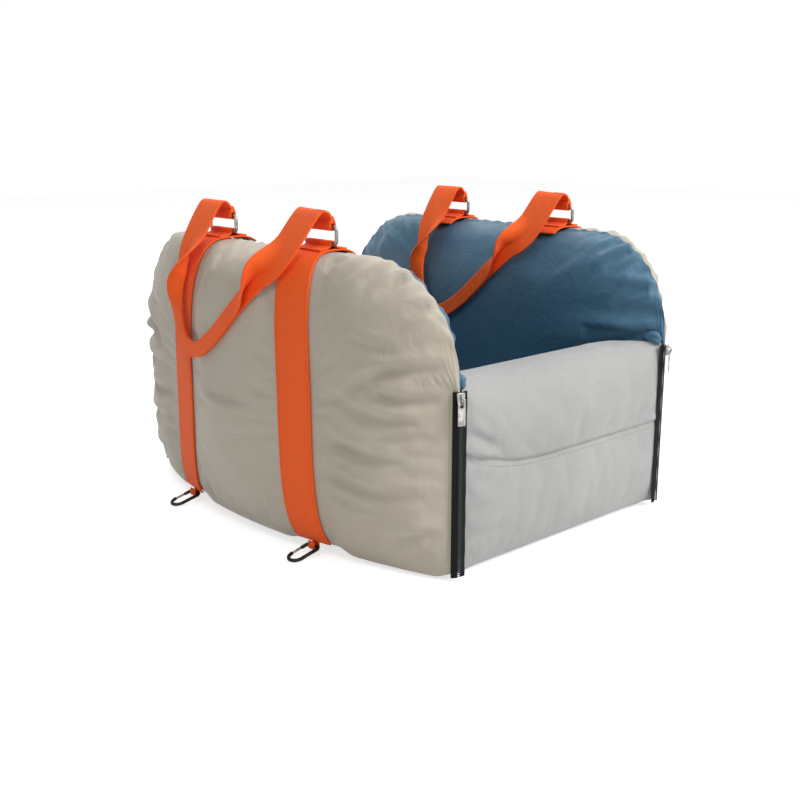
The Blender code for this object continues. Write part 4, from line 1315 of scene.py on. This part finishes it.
# %% The line of a handle
HANDLE_DROP, HANDLE_ARCH, HANDLE_STAND_OFF = 0.150, 0.012, 0.008
HANDLE_OVER = ((0.0, 0.0), (0.30, 0.75), (1.5, 1.0))
HANDLE_DROPS = (0.22, 0.52, 0.84, 1.0, 0.9, 0.55, 0.2)
HANDLE_SPREADS = (-0.80, -0.36, 0.16, 0.62, 0.98, 1.12, 1.04)
HANDLE_STEPS = 120
TURN_FROM, TURN_TO = 0.16, 0.36
FOLD_FROM, FOLD_TO, FOLD_PINCH = 0.12, 0.34, 0.14


def wall_face(side, y, z, lift, face):
    """The point of a side wall's outer (1) or inner (-1) face at this y and height, lifted off it."""
    middle, half, foot, top = wall_section(y, -lift)
    height = min(1.0, abs(2 * z - top - foot) / (top - foot))
    power = RIDGE_POWER if 2 * z > top + foot else FOOT_POWER
    return Vector((side * (middle + face * half * (1 - height**power) ** (1 / power)), y, z))


def wall_outward(side, y, z, face):
    """The direction straight out of that face."""
    step = WEBBING_THICKNESS
    along = wall_face(side, y + step, z, 0.0, face) - wall_face(side, y - step, z, 0.0, face)
    up = wall_face(side, y, z + step, 0.0, face) - wall_face(side, y, z - step, 0.0, face)
    outward = along.cross(up).normalized()
    return outward if outward.x * side * face > 0 else -outward


def handle_points(side, face):
    """A few places along a handle, from the front ring down the wall's face and back up to the rear ring."""
    half = STRAP_SPACING / 2
    bar = ring_bar(side, 0, 1)
    start = bar.z + LOOP_MIDDLE
    over = [(bar.x + side * face * HANDLE_ARCH * out, start + HANDLE_ARCH * up) for out, up in HANDLE_OVER]
    line = [Vector((x, -half, z)) for x, z in over]
    for drop, spread in zip(HANDLE_DROPS, HANDLE_SPREADS):
        z = bar.z - RING_BAR_SPACING / 2 - drop * HANDLE_DROP
        line.append(wall_face(side, spread * half, z, HANDLE_STAND_OFF + WEBBING_THICKNESS, face))
    return line + [Vector((x, half, z)) for x, z in reversed(over)]


# %% [markdown]
# ### Smooth a line and fold a section
# A real handle is one strap folded in half, so its section closes like a book, little by little along the line.

# %% Smooth a line and fold a section
def smooth_line(points, steps):
    """Even steps along a smooth curve through the given points."""
    ends = [2 * points[0] - points[1], *points, 2 * points[-1] - points[-2]]
    fine = []
    for a, b, c, d in zip(ends, ends[1:], ends[2:], ends[3:]):
        for t in np.linspace(0, 1, 16, endpoint=False):
            t = float(t)
            fine.append(0.5 * (
                2 * b + t * (c - a) + t**2 * (2 * a - 5 * b + 4 * c - d) + t**3 * (3 * b - a - 3 * c + d)
            ))
    fine.append(points[-1])
    even, length = resample(np.array(fine), np.linspace(0, 1, steps + 1))
    return [Vector(point) for point in even], length


def ease(value, low, high):
    """A smooth step from 0 at low to 1 at high."""
    share = min(1.0, max(0.0, (value - low) / (high - low)))
    return share * share * (3 - 2 * share)


FOLD_BEND = 0.0019


def folded_section(width, fold):
    """Points across the webbing, in the plane of its section, when it is folded by a share from 0 to 1."""
    half = width / 2
    reach = [-half, -0.8 * half, -0.5 * half, -0.25 * half, -FOLD_BEND, -FOLD_BEND / 2, 0.0]
    reach += [-value for value in reversed(reach[:-1])]
    turn = fold * (math.pi - 0.05)
    fine = np.linspace(-half, half, 241)
    heading = turn * np.clip((fine + FOLD_BEND) / (2 * FOLD_BEND), 0, 1)
    step = fine[1] - fine[0]
    across = np.cumsum(np.cos(heading)) * step
    through = np.cumsum(np.sin(heading)) * step
    across -= (across.max() + across.min()) / 2
    through -= fold * FOLD_BEND * 2 / math.pi
    return [(float(np.interp(r, fine, across)), float(np.interp(r, fine, through))) for r in reach]


# %% Make the handles
up_loop = [(0.0002, 0.0120), (-0.0010, 0.0095), (-0.0024, 0.0065), (-0.0035, 0.0035)]
up_loop += arc_points(LOOP_MIDDLE, 165, 375, 12)
up_loop += [(0.0035, 0.0035), (0.0024, 0.0065), (0.0010, 0.0095), (0.0006, 0.0120)]
for side_word, side, face in (("left", -1, 1), ("right", 1, -1)):
    line, length = smooth_line(handle_points(side, face), HANDLE_STEPS)
    low = ring_bar(side, 0, 1).z - HANDLE_DROP / 2
    rows = []
    for index, point in enumerate(line):
        tangent = (line[min(index + 1, HANDLE_STEPS)] - line[max(index - 1, 0)]).normalized()
        from_end = min(index, HANDLE_STEPS - index) / HANDLE_STEPS
        at_ring = Vector((0, 1 if index < HANDLE_STEPS / 2 else -1, 0))
        outward = wall_outward(side, point.y, min(point.z, low), face)
        flat = tangent.cross(outward).normalized()
        if flat.dot(at_ring) < 0 and from_end < TURN_FROM:
            flat = -flat
        across = at_ring.lerp(flat, ease(from_end, TURN_FROM, TURN_TO))
        across = (across - tangent * across.dot(tangent)).normalized()
        through = tangent.cross(across).normalized()
        if through.dot(outward) < 0:
            through = -through
        fold = ease(from_end, FOLD_FROM, FOLD_TO)
        section = folded_section(LOOP_LENGTH * (1 - FOLD_PINCH * fold), fold)
        rows.append([point + across * a + through * t for a, t in section])
    handle = make_band(f"{side_word}_handle_webbing", rows, ORANGE_WEBBING, f"{side_word}_handle")
    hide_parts(f"{side_word}_handle")
    for end_word, end in ENDS:
        profile_band(
            f"{side_word}_handle_{end_word}_loop", ring_bar(side, end * STRAP_SPACING / 2, 1), side * face, up_loop,
            LOOP_LENGTH, ORANGE_WEBBING, f"{side_word}_handle",
        )
    print(side_word, "handle webbing length", round(length, 3), "m")

# %% [markdown]
# ## Belt strap
# One more strap runs level across the right wall's outer face, a little slack, so that a seat belt or the seat
# back can be passed through it. Its ends are sewn to the wall with a box of stitches.

# %% Make the belt strap
BELT_WIDTH, BELT_HEIGHT, BELT_SLACK, BELT_MARGIN = 0.038, 0.206, 0.012, 0.015
BELT_ROOM = 0.0016
belt_half = SEAT_END - BELT_MARGIN
rows = []


def surface_of(name):
    """A piece's finished surface, to be asked where a straight line meets it."""
    return BVHTree.FromObject(bpy.data.objects[name], bpy.context.evaluated_depsgraph_get())


def clear_of_cloth(tree, point, room):
    """The point moved out from the right wall, where the swollen cloth would touch it."""
    hit = tree.ray_cast(Vector((0.5, point.y, point.z)), Vector((-1, 0, 0)))[0]
    if hit is not None and point.x < hit.x + room:
        return Vector((hit.x + room, point.y, point.z))
    return point


right_cover = surface_of("right_wall_cover_cloth")
for along in np.linspace(-1, 1, 81):
    y = belt_half * math.sin(math.pi / 2 * float(along))
    slack = BELT_SLACK * (1 - abs(y / belt_half) ** 4)
    row = [
        wall_face(1, y, BELT_HEIGHT + float(across) * BELT_WIDTH, STRAP_STAND + WEBBING_THICKNESS / 2, 1)
        + Vector((slack, 0, 0))
        for across in np.linspace(-0.5, 0.5, 9)
    ]
    rows.append([clear_of_cloth(right_cover, point, BELT_ROOM) for point in row])
belt = make_band("belt_strap_webbing", rows, ORANGE_WEBBING, "base")
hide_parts("belt_strap")

BOX_FIRST, BOX_LAST, BOX_LOW, BOX_HIGH = 4, 12, 1, 7
bm = bmesh.new()
for run in (rows, rows[::-1]):
    box = [row[BOX_LOW] for row in run[BOX_FIRST:BOX_LAST + 1]] + run[BOX_LAST][BOX_LOW + 1:BOX_HIGH + 1]
    box += [row[BOX_HIGH] for row in run[BOX_LAST - 1:BOX_FIRST - 1:-1]] + run[BOX_FIRST][BOX_HIGH - 1:BOX_LOW - 1:-1]
    outs = [wall_outward(1, point.y, point.z, 1) for point in box]
    add_stitches(bm, [point + out * (WEBBING_THICKNESS / 2 + 0.0001) for point, out in zip(box, outs)], outs)
new_piece("belt_strap_stitches", bm, ORANGE_THREAD, "base")
print("belt strap from", round(-belt_half, 3), "to", round(belt_half, 3))

# %% [markdown]
# ## Corner zips
# A black zip runs up each corner. One half of its tape is sewn to the side wall and the other to the end wall, so
# each half rides its own body. The coils meet in the narrow gap between the two edges, and a nickel slider with a
# hanging pull sits at the top.

# %% Make the zip tapes and their coils
TAPE_WIDTH, TAPE_THICKNESS, TAPE_STAND = 0.0075, 0.0015, 0.0008
TAPE_FOOT = 0.007
COIL_PITCH, COIL_REACH, COIL_RADIUS = 0.0026, 0.0030, 0.0009


def tape_half(name, corner, across, outward, body, offset):
    """One half of a tape: a thin band whose edge carries its row of coils."""
    middle = corner + outward * TAPE_THICKNESS / 2
    rows = [
        [middle + across * (TAPE_WIDTH * share) + Vector((0, 0, height))
         + outward * (0.0003 * math.sin(height * 190 + 3 * offset) * share)
         for share in (0.0, 0.2, 0.5, 0.8, 1.0)]
        for height in np.linspace(TAPE_FOOT, ZIP_TOP, 51).tolist()
    ]
    tape = make_band(name + "_cloth", rows, BLACK_TAPE, body, TAPE_THICKNESS * 0.6)
    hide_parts(name)
    bm = bmesh.new()
    axes = Matrix((across, outward, Vector((0, 0, 1)))).transposed().to_4x4()
    for height in np.arange(TAPE_FOOT + 0.002 + offset, ZIP_TOP - 0.002, COIL_PITCH).tolist():
        place = middle + outward * TAPE_THICKNESS * 0.3 + Vector((0, 0, height))
        axes.translation = place - across * COIL_REACH * 0.2
        scale = Matrix.Diagonal((COIL_REACH / 2, COIL_RADIUS, COIL_RADIUS, 1))
        bmesh.ops.create_uvsphere(bm, u_segments=8, v_segments=5, radius=1.0, matrix=axes @ scale)
    new_piece(name + "_coil", bm, BLACK_COIL, body)


def behind_corner(side, end):
    """The headings of the wall's tape: from the corner edge back along the wall's outer face, and out from it."""
    point = wall_face(side, end * (SEAT_END - TAPE_WIDTH * 0.7), ZIP_TOP / 2, 0.0, 1)
    across = Vector((point.x - side * CORNER_X, point.y - end * SEAT_END, 0)).normalized()
    return across, Vector((side * abs(across.y), end * abs(across.x), 0))


for end_word, end in ENDS:
    for side_word, side in SIDES:
        names = f"{end_word}_{side_word}_zip"
        across, outward = behind_corner(side, end)
        corner = Vector((side * CORNER_X, end * SEAT_END, 0)) + outward * TAPE_STAND
        tape_half(f"{names}_wall_tape", corner, across, outward, "base", 0.0)
        corner = Vector((side * flap_half_width(0.0), end * (SEAT_END + SMALL_GAP), 0))
        tape_half(
            f"{names}_flap_tape", corner, Vector((-side, 0, 0)), Vector((0, end, 0)), f"{end_word}_wall",
            COIL_PITCH / 2,
        )
print("zip length", round(ZIP_TOP - ZIP_FOOT, 3), "m")

# %% [markdown]
# ### Make the sliders and pulls
# The slider is a small block, narrower at its foot, with a wire crown. The pull is a flat tab with one hole that
# hangs from the crown, on a body of its own, because it swings.

# %% Make the sliders and pulls
SLIDER_WIDTH, SLIDER_HEIGHT, SLIDER_THICKNESS = 0.0095, 0.014, 0.0028
SLIDER_TURN = math.radians(25)
CROWN_RADIUS, CROWN_WIRE, CROWN_SINK, PIVOT_SHARE = 0.0046, 0.0009, 0.0006, 0.4
PULL_WIDTH, PULL_LENGTH, PULL_THICKNESS, PULL_BAR = 0.0085, 0.030, 0.0014, 0.0016
PULL_HOLE_WIDTH, PULL_HOLE_LENGTH = 0.0038, 0.0085


def slider_axes(side, end):
    """The slider's own axes: across, outward and up; its origin is behind its middle."""
    outward = Vector((side * math.sin(SLIDER_TURN), end * math.cos(SLIDER_TURN), 0))
    across = outward.cross(Vector((0, 0, 1)))
    stand = TAPE_STAND + TAPE_THICKNESS + SMALL_GAP
    axes = Matrix((across, outward, Vector((0, 0, 1)))).transposed().to_4x4()
    axes.translation = Vector((side * CORNER_X, end * SEAT_END, ZIP_TOP - SLIDER_HEIGHT / 2)) + outward * stand
    return axes


for end_word, end in ENDS:
    for side_word, side in SIDES:
        name = f"{end_word}_{side_word}_zip_slider"
        axes = slider_axes(side, end)
        bm = bmesh.new()
        scale = Matrix.Diagonal((SLIDER_WIDTH, SLIDER_THICKNESS, SLIDER_HEIGHT, 1))
        made = bmesh.ops.create_cube(bm, size=1, matrix=Matrix.Translation((0, SLIDER_THICKNESS / 2, 0)) @ scale)
        narrow = [vert for vert in made["verts"] if vert.co.z < 0]
        bmesh.ops.scale(bm, vec=(0.72, 1, 1), verts=narrow)
        bmesh.ops.bevel(bm, geom=bm.edges[:], offset=0.0011, segments=3, profile=0.5, material=-1, affect="EDGES")
        bmesh.ops.transform(bm, matrix=axes, verts=bm.verts)
        slider = new_piece(f"{name}_body", bm, NICKEL, name)
        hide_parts(name)
        foot, turns = SLIDER_THICKNESS - CROWN_SINK, np.linspace(0, math.pi, 13).tolist()
        crown = [
            axes @ Vector((0, foot + CROWN_RADIUS * math.sin(turn), CROWN_RADIUS * math.cos(turn))) for turn in turns
        ]
        sweep_wire(f"{name}_crown", crown, CROWN_WIRE, NICKEL, name)

        name = f"{end_word}_{side_word}_zip_pull"
        bm = bmesh.new()
        made = bmesh.ops.create_grid(bm, x_segments=3, y_segments=3, size=1.5)["verts"]
        columns = (-PULL_WIDTH / 2, -PULL_HOLE_WIDTH / 2, PULL_HOLE_WIDTH / 2, PULL_WIDTH / 2)
        hole_foot = -PULL_BAR / 2 - PULL_HOLE_LENGTH
        heights = (PULL_BAR / 2 - PULL_LENGTH, hole_foot, -PULL_BAR / 2, PULL_BAR / 2)
        window = min(bm.faces, key=lambda face: face.calc_center_median().length)
        bmesh.ops.delete(bm, geom=[window], context="FACES_ONLY")
        for vert in made:
            column, row = round(vert.co.x + 1.5), round(vert.co.y + 1.5)
            vert.co = (columns[column], 0, heights[row])
        pivot = Matrix.Translation((0, SLIDER_THICKNESS + CROWN_RADIUS * PIVOT_SHARE, 0))
        bmesh.ops.transform(bm, matrix=axes @ pivot, verts=bm.verts)
        pull = new_piece(f"{name}_tab", bm, NICKEL, name)
        add_modifier(pull, "SOLIDIFY", thickness=PULL_THICKNESS, offset=0.0)
        add_modifier(pull, "BEVEL", width=0.0005, segments=3, limit_method="ANGLE")
        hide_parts(name)
print("slider height", round(ZIP_TOP - SLIDER_HEIGHT / 2, 4))

# %% [markdown]
# ## Snap hooks
# At the foot of each strap a short tab of webbing holds a black snap hook, which clips the seat to an anchor in
# the car. The hook is bent wire, and its sprung gate closes the gap in one side.

# %% Make the hooks
HOOK_LENGTH, HOOK_WIDTH, HOOK_WIRE, HOOK_CORNER = 0.036, 0.020, 0.0022, 0.0035
GATE_WIRE, GATE_FROM, GATE_TO, HOOK_TAB_WIDTH = 0.0016, 0.30, 0.70, 0.012
HOOK_OUTREACH, TAB_GAP = 0.0010, LOOP_INNER - HOOK_WIRE


def hook_axes(side, end):
    """The hook slopes down and away from the seat; its origin is on the bar that the tab holds."""
    middle = float(strap_middle(end, STRAP_FOOT_ANGLE))
    foot = wall_point(side, middle, STRAP_FOOT_ANGLE, -STRAP_STAND - WEBBING_THICKNESS)
    tab_radius = HOOK_WIRE + TAB_GAP + WEBBING_THICKNESS
    bar = Vector((foot.x + side * HOOK_OUTREACH, foot.y, foot.z - tab_radius - SMALL_GAP))
    slope = math.asin((bar.z - HOOK_WIRE - SMALL_GAP) / HOOK_LENGTH)
    along = Vector((side * math.cos(slope), 0, -math.sin(slope)))
    across = Vector((0, side, 0))
    axes = Matrix((along, across, along.cross(across))).transposed().to_4x4()
    axes.translation = bar
    return axes


def turn_points(x, y, radius, first, last, steps=12):
    """Points round a centre, from one quarter turn to another."""
    turns = [math.pi / 2 * (first + (last - first) * step / steps) for step in range(steps + 1)]
    return [Vector((x + radius * math.cos(turn), y + radius * math.sin(turn), 0)) for turn in turns]


for side_word, side in SIDES:
    for end_word, end in ENDS:
        name = f"{side_word}_{end_word}_hook"
        axes = hook_axes(side, end)
        half, inner = HOOK_WIDTH / 2, HOOK_WIDTH / 2 - HOOK_CORNER
        path = [Vector((HOOK_LENGTH * GATE_FROM, -half, 0))]
        path += turn_points(HOOK_CORNER, -inner, HOOK_CORNER, -1, -2)
        path += turn_points(HOOK_CORNER, inner, HOOK_CORNER, 2, 1)
        path += turn_points(HOOK_LENGTH - half, 0, half, 1, -1, 24)
        path.append(Vector((HOOK_LENGTH * GATE_TO, -half, 0)))
        path = [axes @ point for point in path]
        hook = sweep_wire(f"{name}_wire", path, HOOK_WIRE, BLACK_METAL, name)
        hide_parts(name)
        low, high = HOOK_LENGTH * GATE_FROM + SMALL_GAP, HOOK_LENGTH * GATE_TO - 2 * SMALL_GAP
        gate_path = [axes @ Vector((x, -half, 0)) for x in np.linspace(low, high, 9).tolist()]
        gate = sweep_wire(f"{name}_gate_wire", gate_path, GATE_WIRE, NICKEL, f"{name}_gate")
        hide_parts(f"{name}_gate")
        tab_middle = HOOK_WIRE + TAB_GAP + WEBBING_THICKNESS / 2
        bend = [(-0.0030, 0.0065), (-0.0034, 0.0035)]
        bend += arc_points(tab_middle, 165, 375, 14)
        bend += [(0.0034, 0.0035), (0.0030, 0.0065)]
        tab = profile_band(
            f"{name}_tab_webbing", axes.translation, side, bend, HOOK_TAB_WIDTH, ORANGE_WEBBING, "base",
        )
        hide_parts(f"{name}_tab")
print("hook bar height", round(axes.translation.z, 4))

# %% [markdown]
# ## Topstitching
# A row of grey stitches follows the level seam of each end wall and the cloth beside each zip. Every stitch is
# found by looking at the finished cloth along a straight line, so it lies on the folds.

# %% Sew beside the seams
THREAD_LIFT = 0.0001


def stitch_row(name, cloth_name, aims, direction, body):
    """Stitches where these aims, seen along a direction, meet a cloth."""
    tree = surface_of(cloth_name)
    points, outs = [], []
    for aim in aims:
        hit, normal = tree.ray_cast(aim - direction * 0.1, direction)[:2]
        if hit is not None:
            out = normal if normal.dot(direction) < 0 else -normal
            points.append(hit + out * THREAD_LIFT)
            outs.append(out)
    bm = bmesh.new()
    add_stitches(bm, points, outs)
    return new_piece(name, bm, GREY_THREAD, body)


for end_word, end in ENDS:
    aims = [
        Vector((x, end * SEAT_END, seam_height(-x * end) - 0.0055))
        for x in np.linspace(-CORNER_X + 0.018, CORNER_X - 0.018, 200).tolist()
    ]
    flap = f"{end_word}_wall"
    stitch_row(f"{end_word}_seam_stitches", f"{flap}_cover_cloth", aims, Vector((0, -end, 0)), flap)
    for side_word, side in SIDES:
        across, outward = behind_corner(side, end)
        corner = Vector((side * CORNER_X, end * SEAT_END, 0)) + across * (TAPE_WIDTH + 0.0030)
        aims = [corner + Vector((0, 0, height)) for height in np.linspace(ZIP_FOOT + 0.004, ZIP_TOP, 120).tolist()]
        name = f"{end_word}_{side_word}_wall_stitches"
        stitch_row(name, f"{side_word}_wall_cover_cloth", aims, -outward, "base")
print("stitch length", STITCH_LENGTH, "pitch", STITCH_PITCH)

# %% [markdown]
# ## Base and seat cushion
# The floor of the seat is a stiff board on a black padded base cloth, which bows out under the side walls. A
# loose blue cushion lies on the board.

# %% Make the base cloth
BASE_THICKNESS, BASE_INSET, BASE_CORNER = 0.006, 0.025, 0.030
BASE_ROWS, BASE_COLUMNS = 60, 40


def base_half_width(y):
    """The base reaches to the middle of each side wall and is rounded at its corners."""
    return wall_section(y)[0] - float(corner_drop(y, SEAT_END - BASE_INSET, BASE_CORNER))


def base_rows():
    """Rows of points over one face of the base, closer together near its rim."""
    half_length = SEAT_END - BASE_INSET
    shares = np.sin(np.linspace(-math.pi / 2, math.pi / 2, BASE_ROWS + 1))
    across = np.sin(np.linspace(-math.pi / 2, math.pi / 2, BASE_COLUMNS + 1))
    rows = []
    for share in shares.tolist():
        y = share * (half_length - 0.0002)
        rows.append([Vector((part * base_half_width(y), y, BASE_THICKNESS / 2)) for part in across.tolist()])
    return rows


base_cloth = make_band("base_cover_cloth", base_rows(), BASE_CLOTH, "base", BASE_THICKNESS * 0.9, rounded=0)
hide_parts("base_cover")
lengths = np.sin(np.linspace(-math.pi / 2, math.pi / 2, 81)) * (SEAT_END - BASE_INSET - 0.0004)
rim = [
    Vector((-side * base_half_width(y), y, BASE_THICKNESS / 2))
    for side in (1, -1) for y in (lengths * side).tolist()
]
sweep_wire("base_cover_binding", rim, BASE_THICKNESS / 2 - 0.0002, BLACK_COIL, "base", True)
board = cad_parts["base_board"].data
board.materials.clear()
board.materials.append(FIBRE_BOARD)
print("base", round(2 * base_half_width(0.0), 3), "m wide at its middle")

# %% [markdown]
# ### Make the seat cushion
# The cushion is a pillow like the walls: its top is blown up a little, its underside lies flat on the board.

# %% Make the seat cushion
CUSHION_HEIGHT, CUSHION_EDGE, CUSHION_CLEARANCE, CUSHION_POWER = 0.050, 0.012, 0.003, 6.0
CUSHION_CELLS = 56


def cushion_column(a, face):
    """One column of the cushion's top (1) or underside (-1), and where it lies on the flat cloth."""
    column = []
    for b in cushion_shares:
        y = cushion_end * b
        middle, half, _, _ = wall_section(y)
        crown = math.sqrt(max(0.0, (1 - abs(a) ** CUSHION_POWER) * (1 - abs(b) ** CUSHION_POWER)))
        height = CUSHION_EDGE + (CUSHION_HEIGHT - CUSHION_EDGE) * crown if face > 0 else CUSHION_EDGE * (1 - crown)
        column.append((a * (middle - half - CUSHION_CLEARANCE), y, BASE_LIFT + SMALL_GAP + height))
    return column, [(a * CORNER_X, cushion_end * b) for b in cushion_shares]


cushion_end = SEAT_END - FLAP_THICKNESS - CUSHION_CLEARANCE
cushion_shares = np.sin(np.linspace(-math.pi / 2, math.pi / 2, CUSHION_CELLS + 1)).tolist()
cushion = make_pillow("seat_cushion_cloth", *two_tables(cushion_shares, cushion_column))
points = points_of(cushion.data)
under = points[:, 2] < BASE_LIFT + CUSHION_EDGE + 0.002
blow_up(cushion, under.astype(float), np.where(under, 0.0, 0.006), pressure=3.0)
heights = gather_heights(flat_places(cushion.data), seam_gathers(
    np.random.default_rng(7), [(-0.15, -0.19), (0.15, -0.19), (0.15, 0.19), (-0.15, 0.19), (-0.15, -0.19)],
    (0.0, 0.0), 26, (0.04, 0.08), (0.006, 0.010), (0.0010, 0.0024),
))
push_out(cushion, np.where(under, 0.0, heights))
finish_cloth(cushion, LINING_CLOTH, "base", ["seat_cushion"])
print("cushion cells", CUSHION_CELLS, "by", CUSHION_CELLS, "on each face")
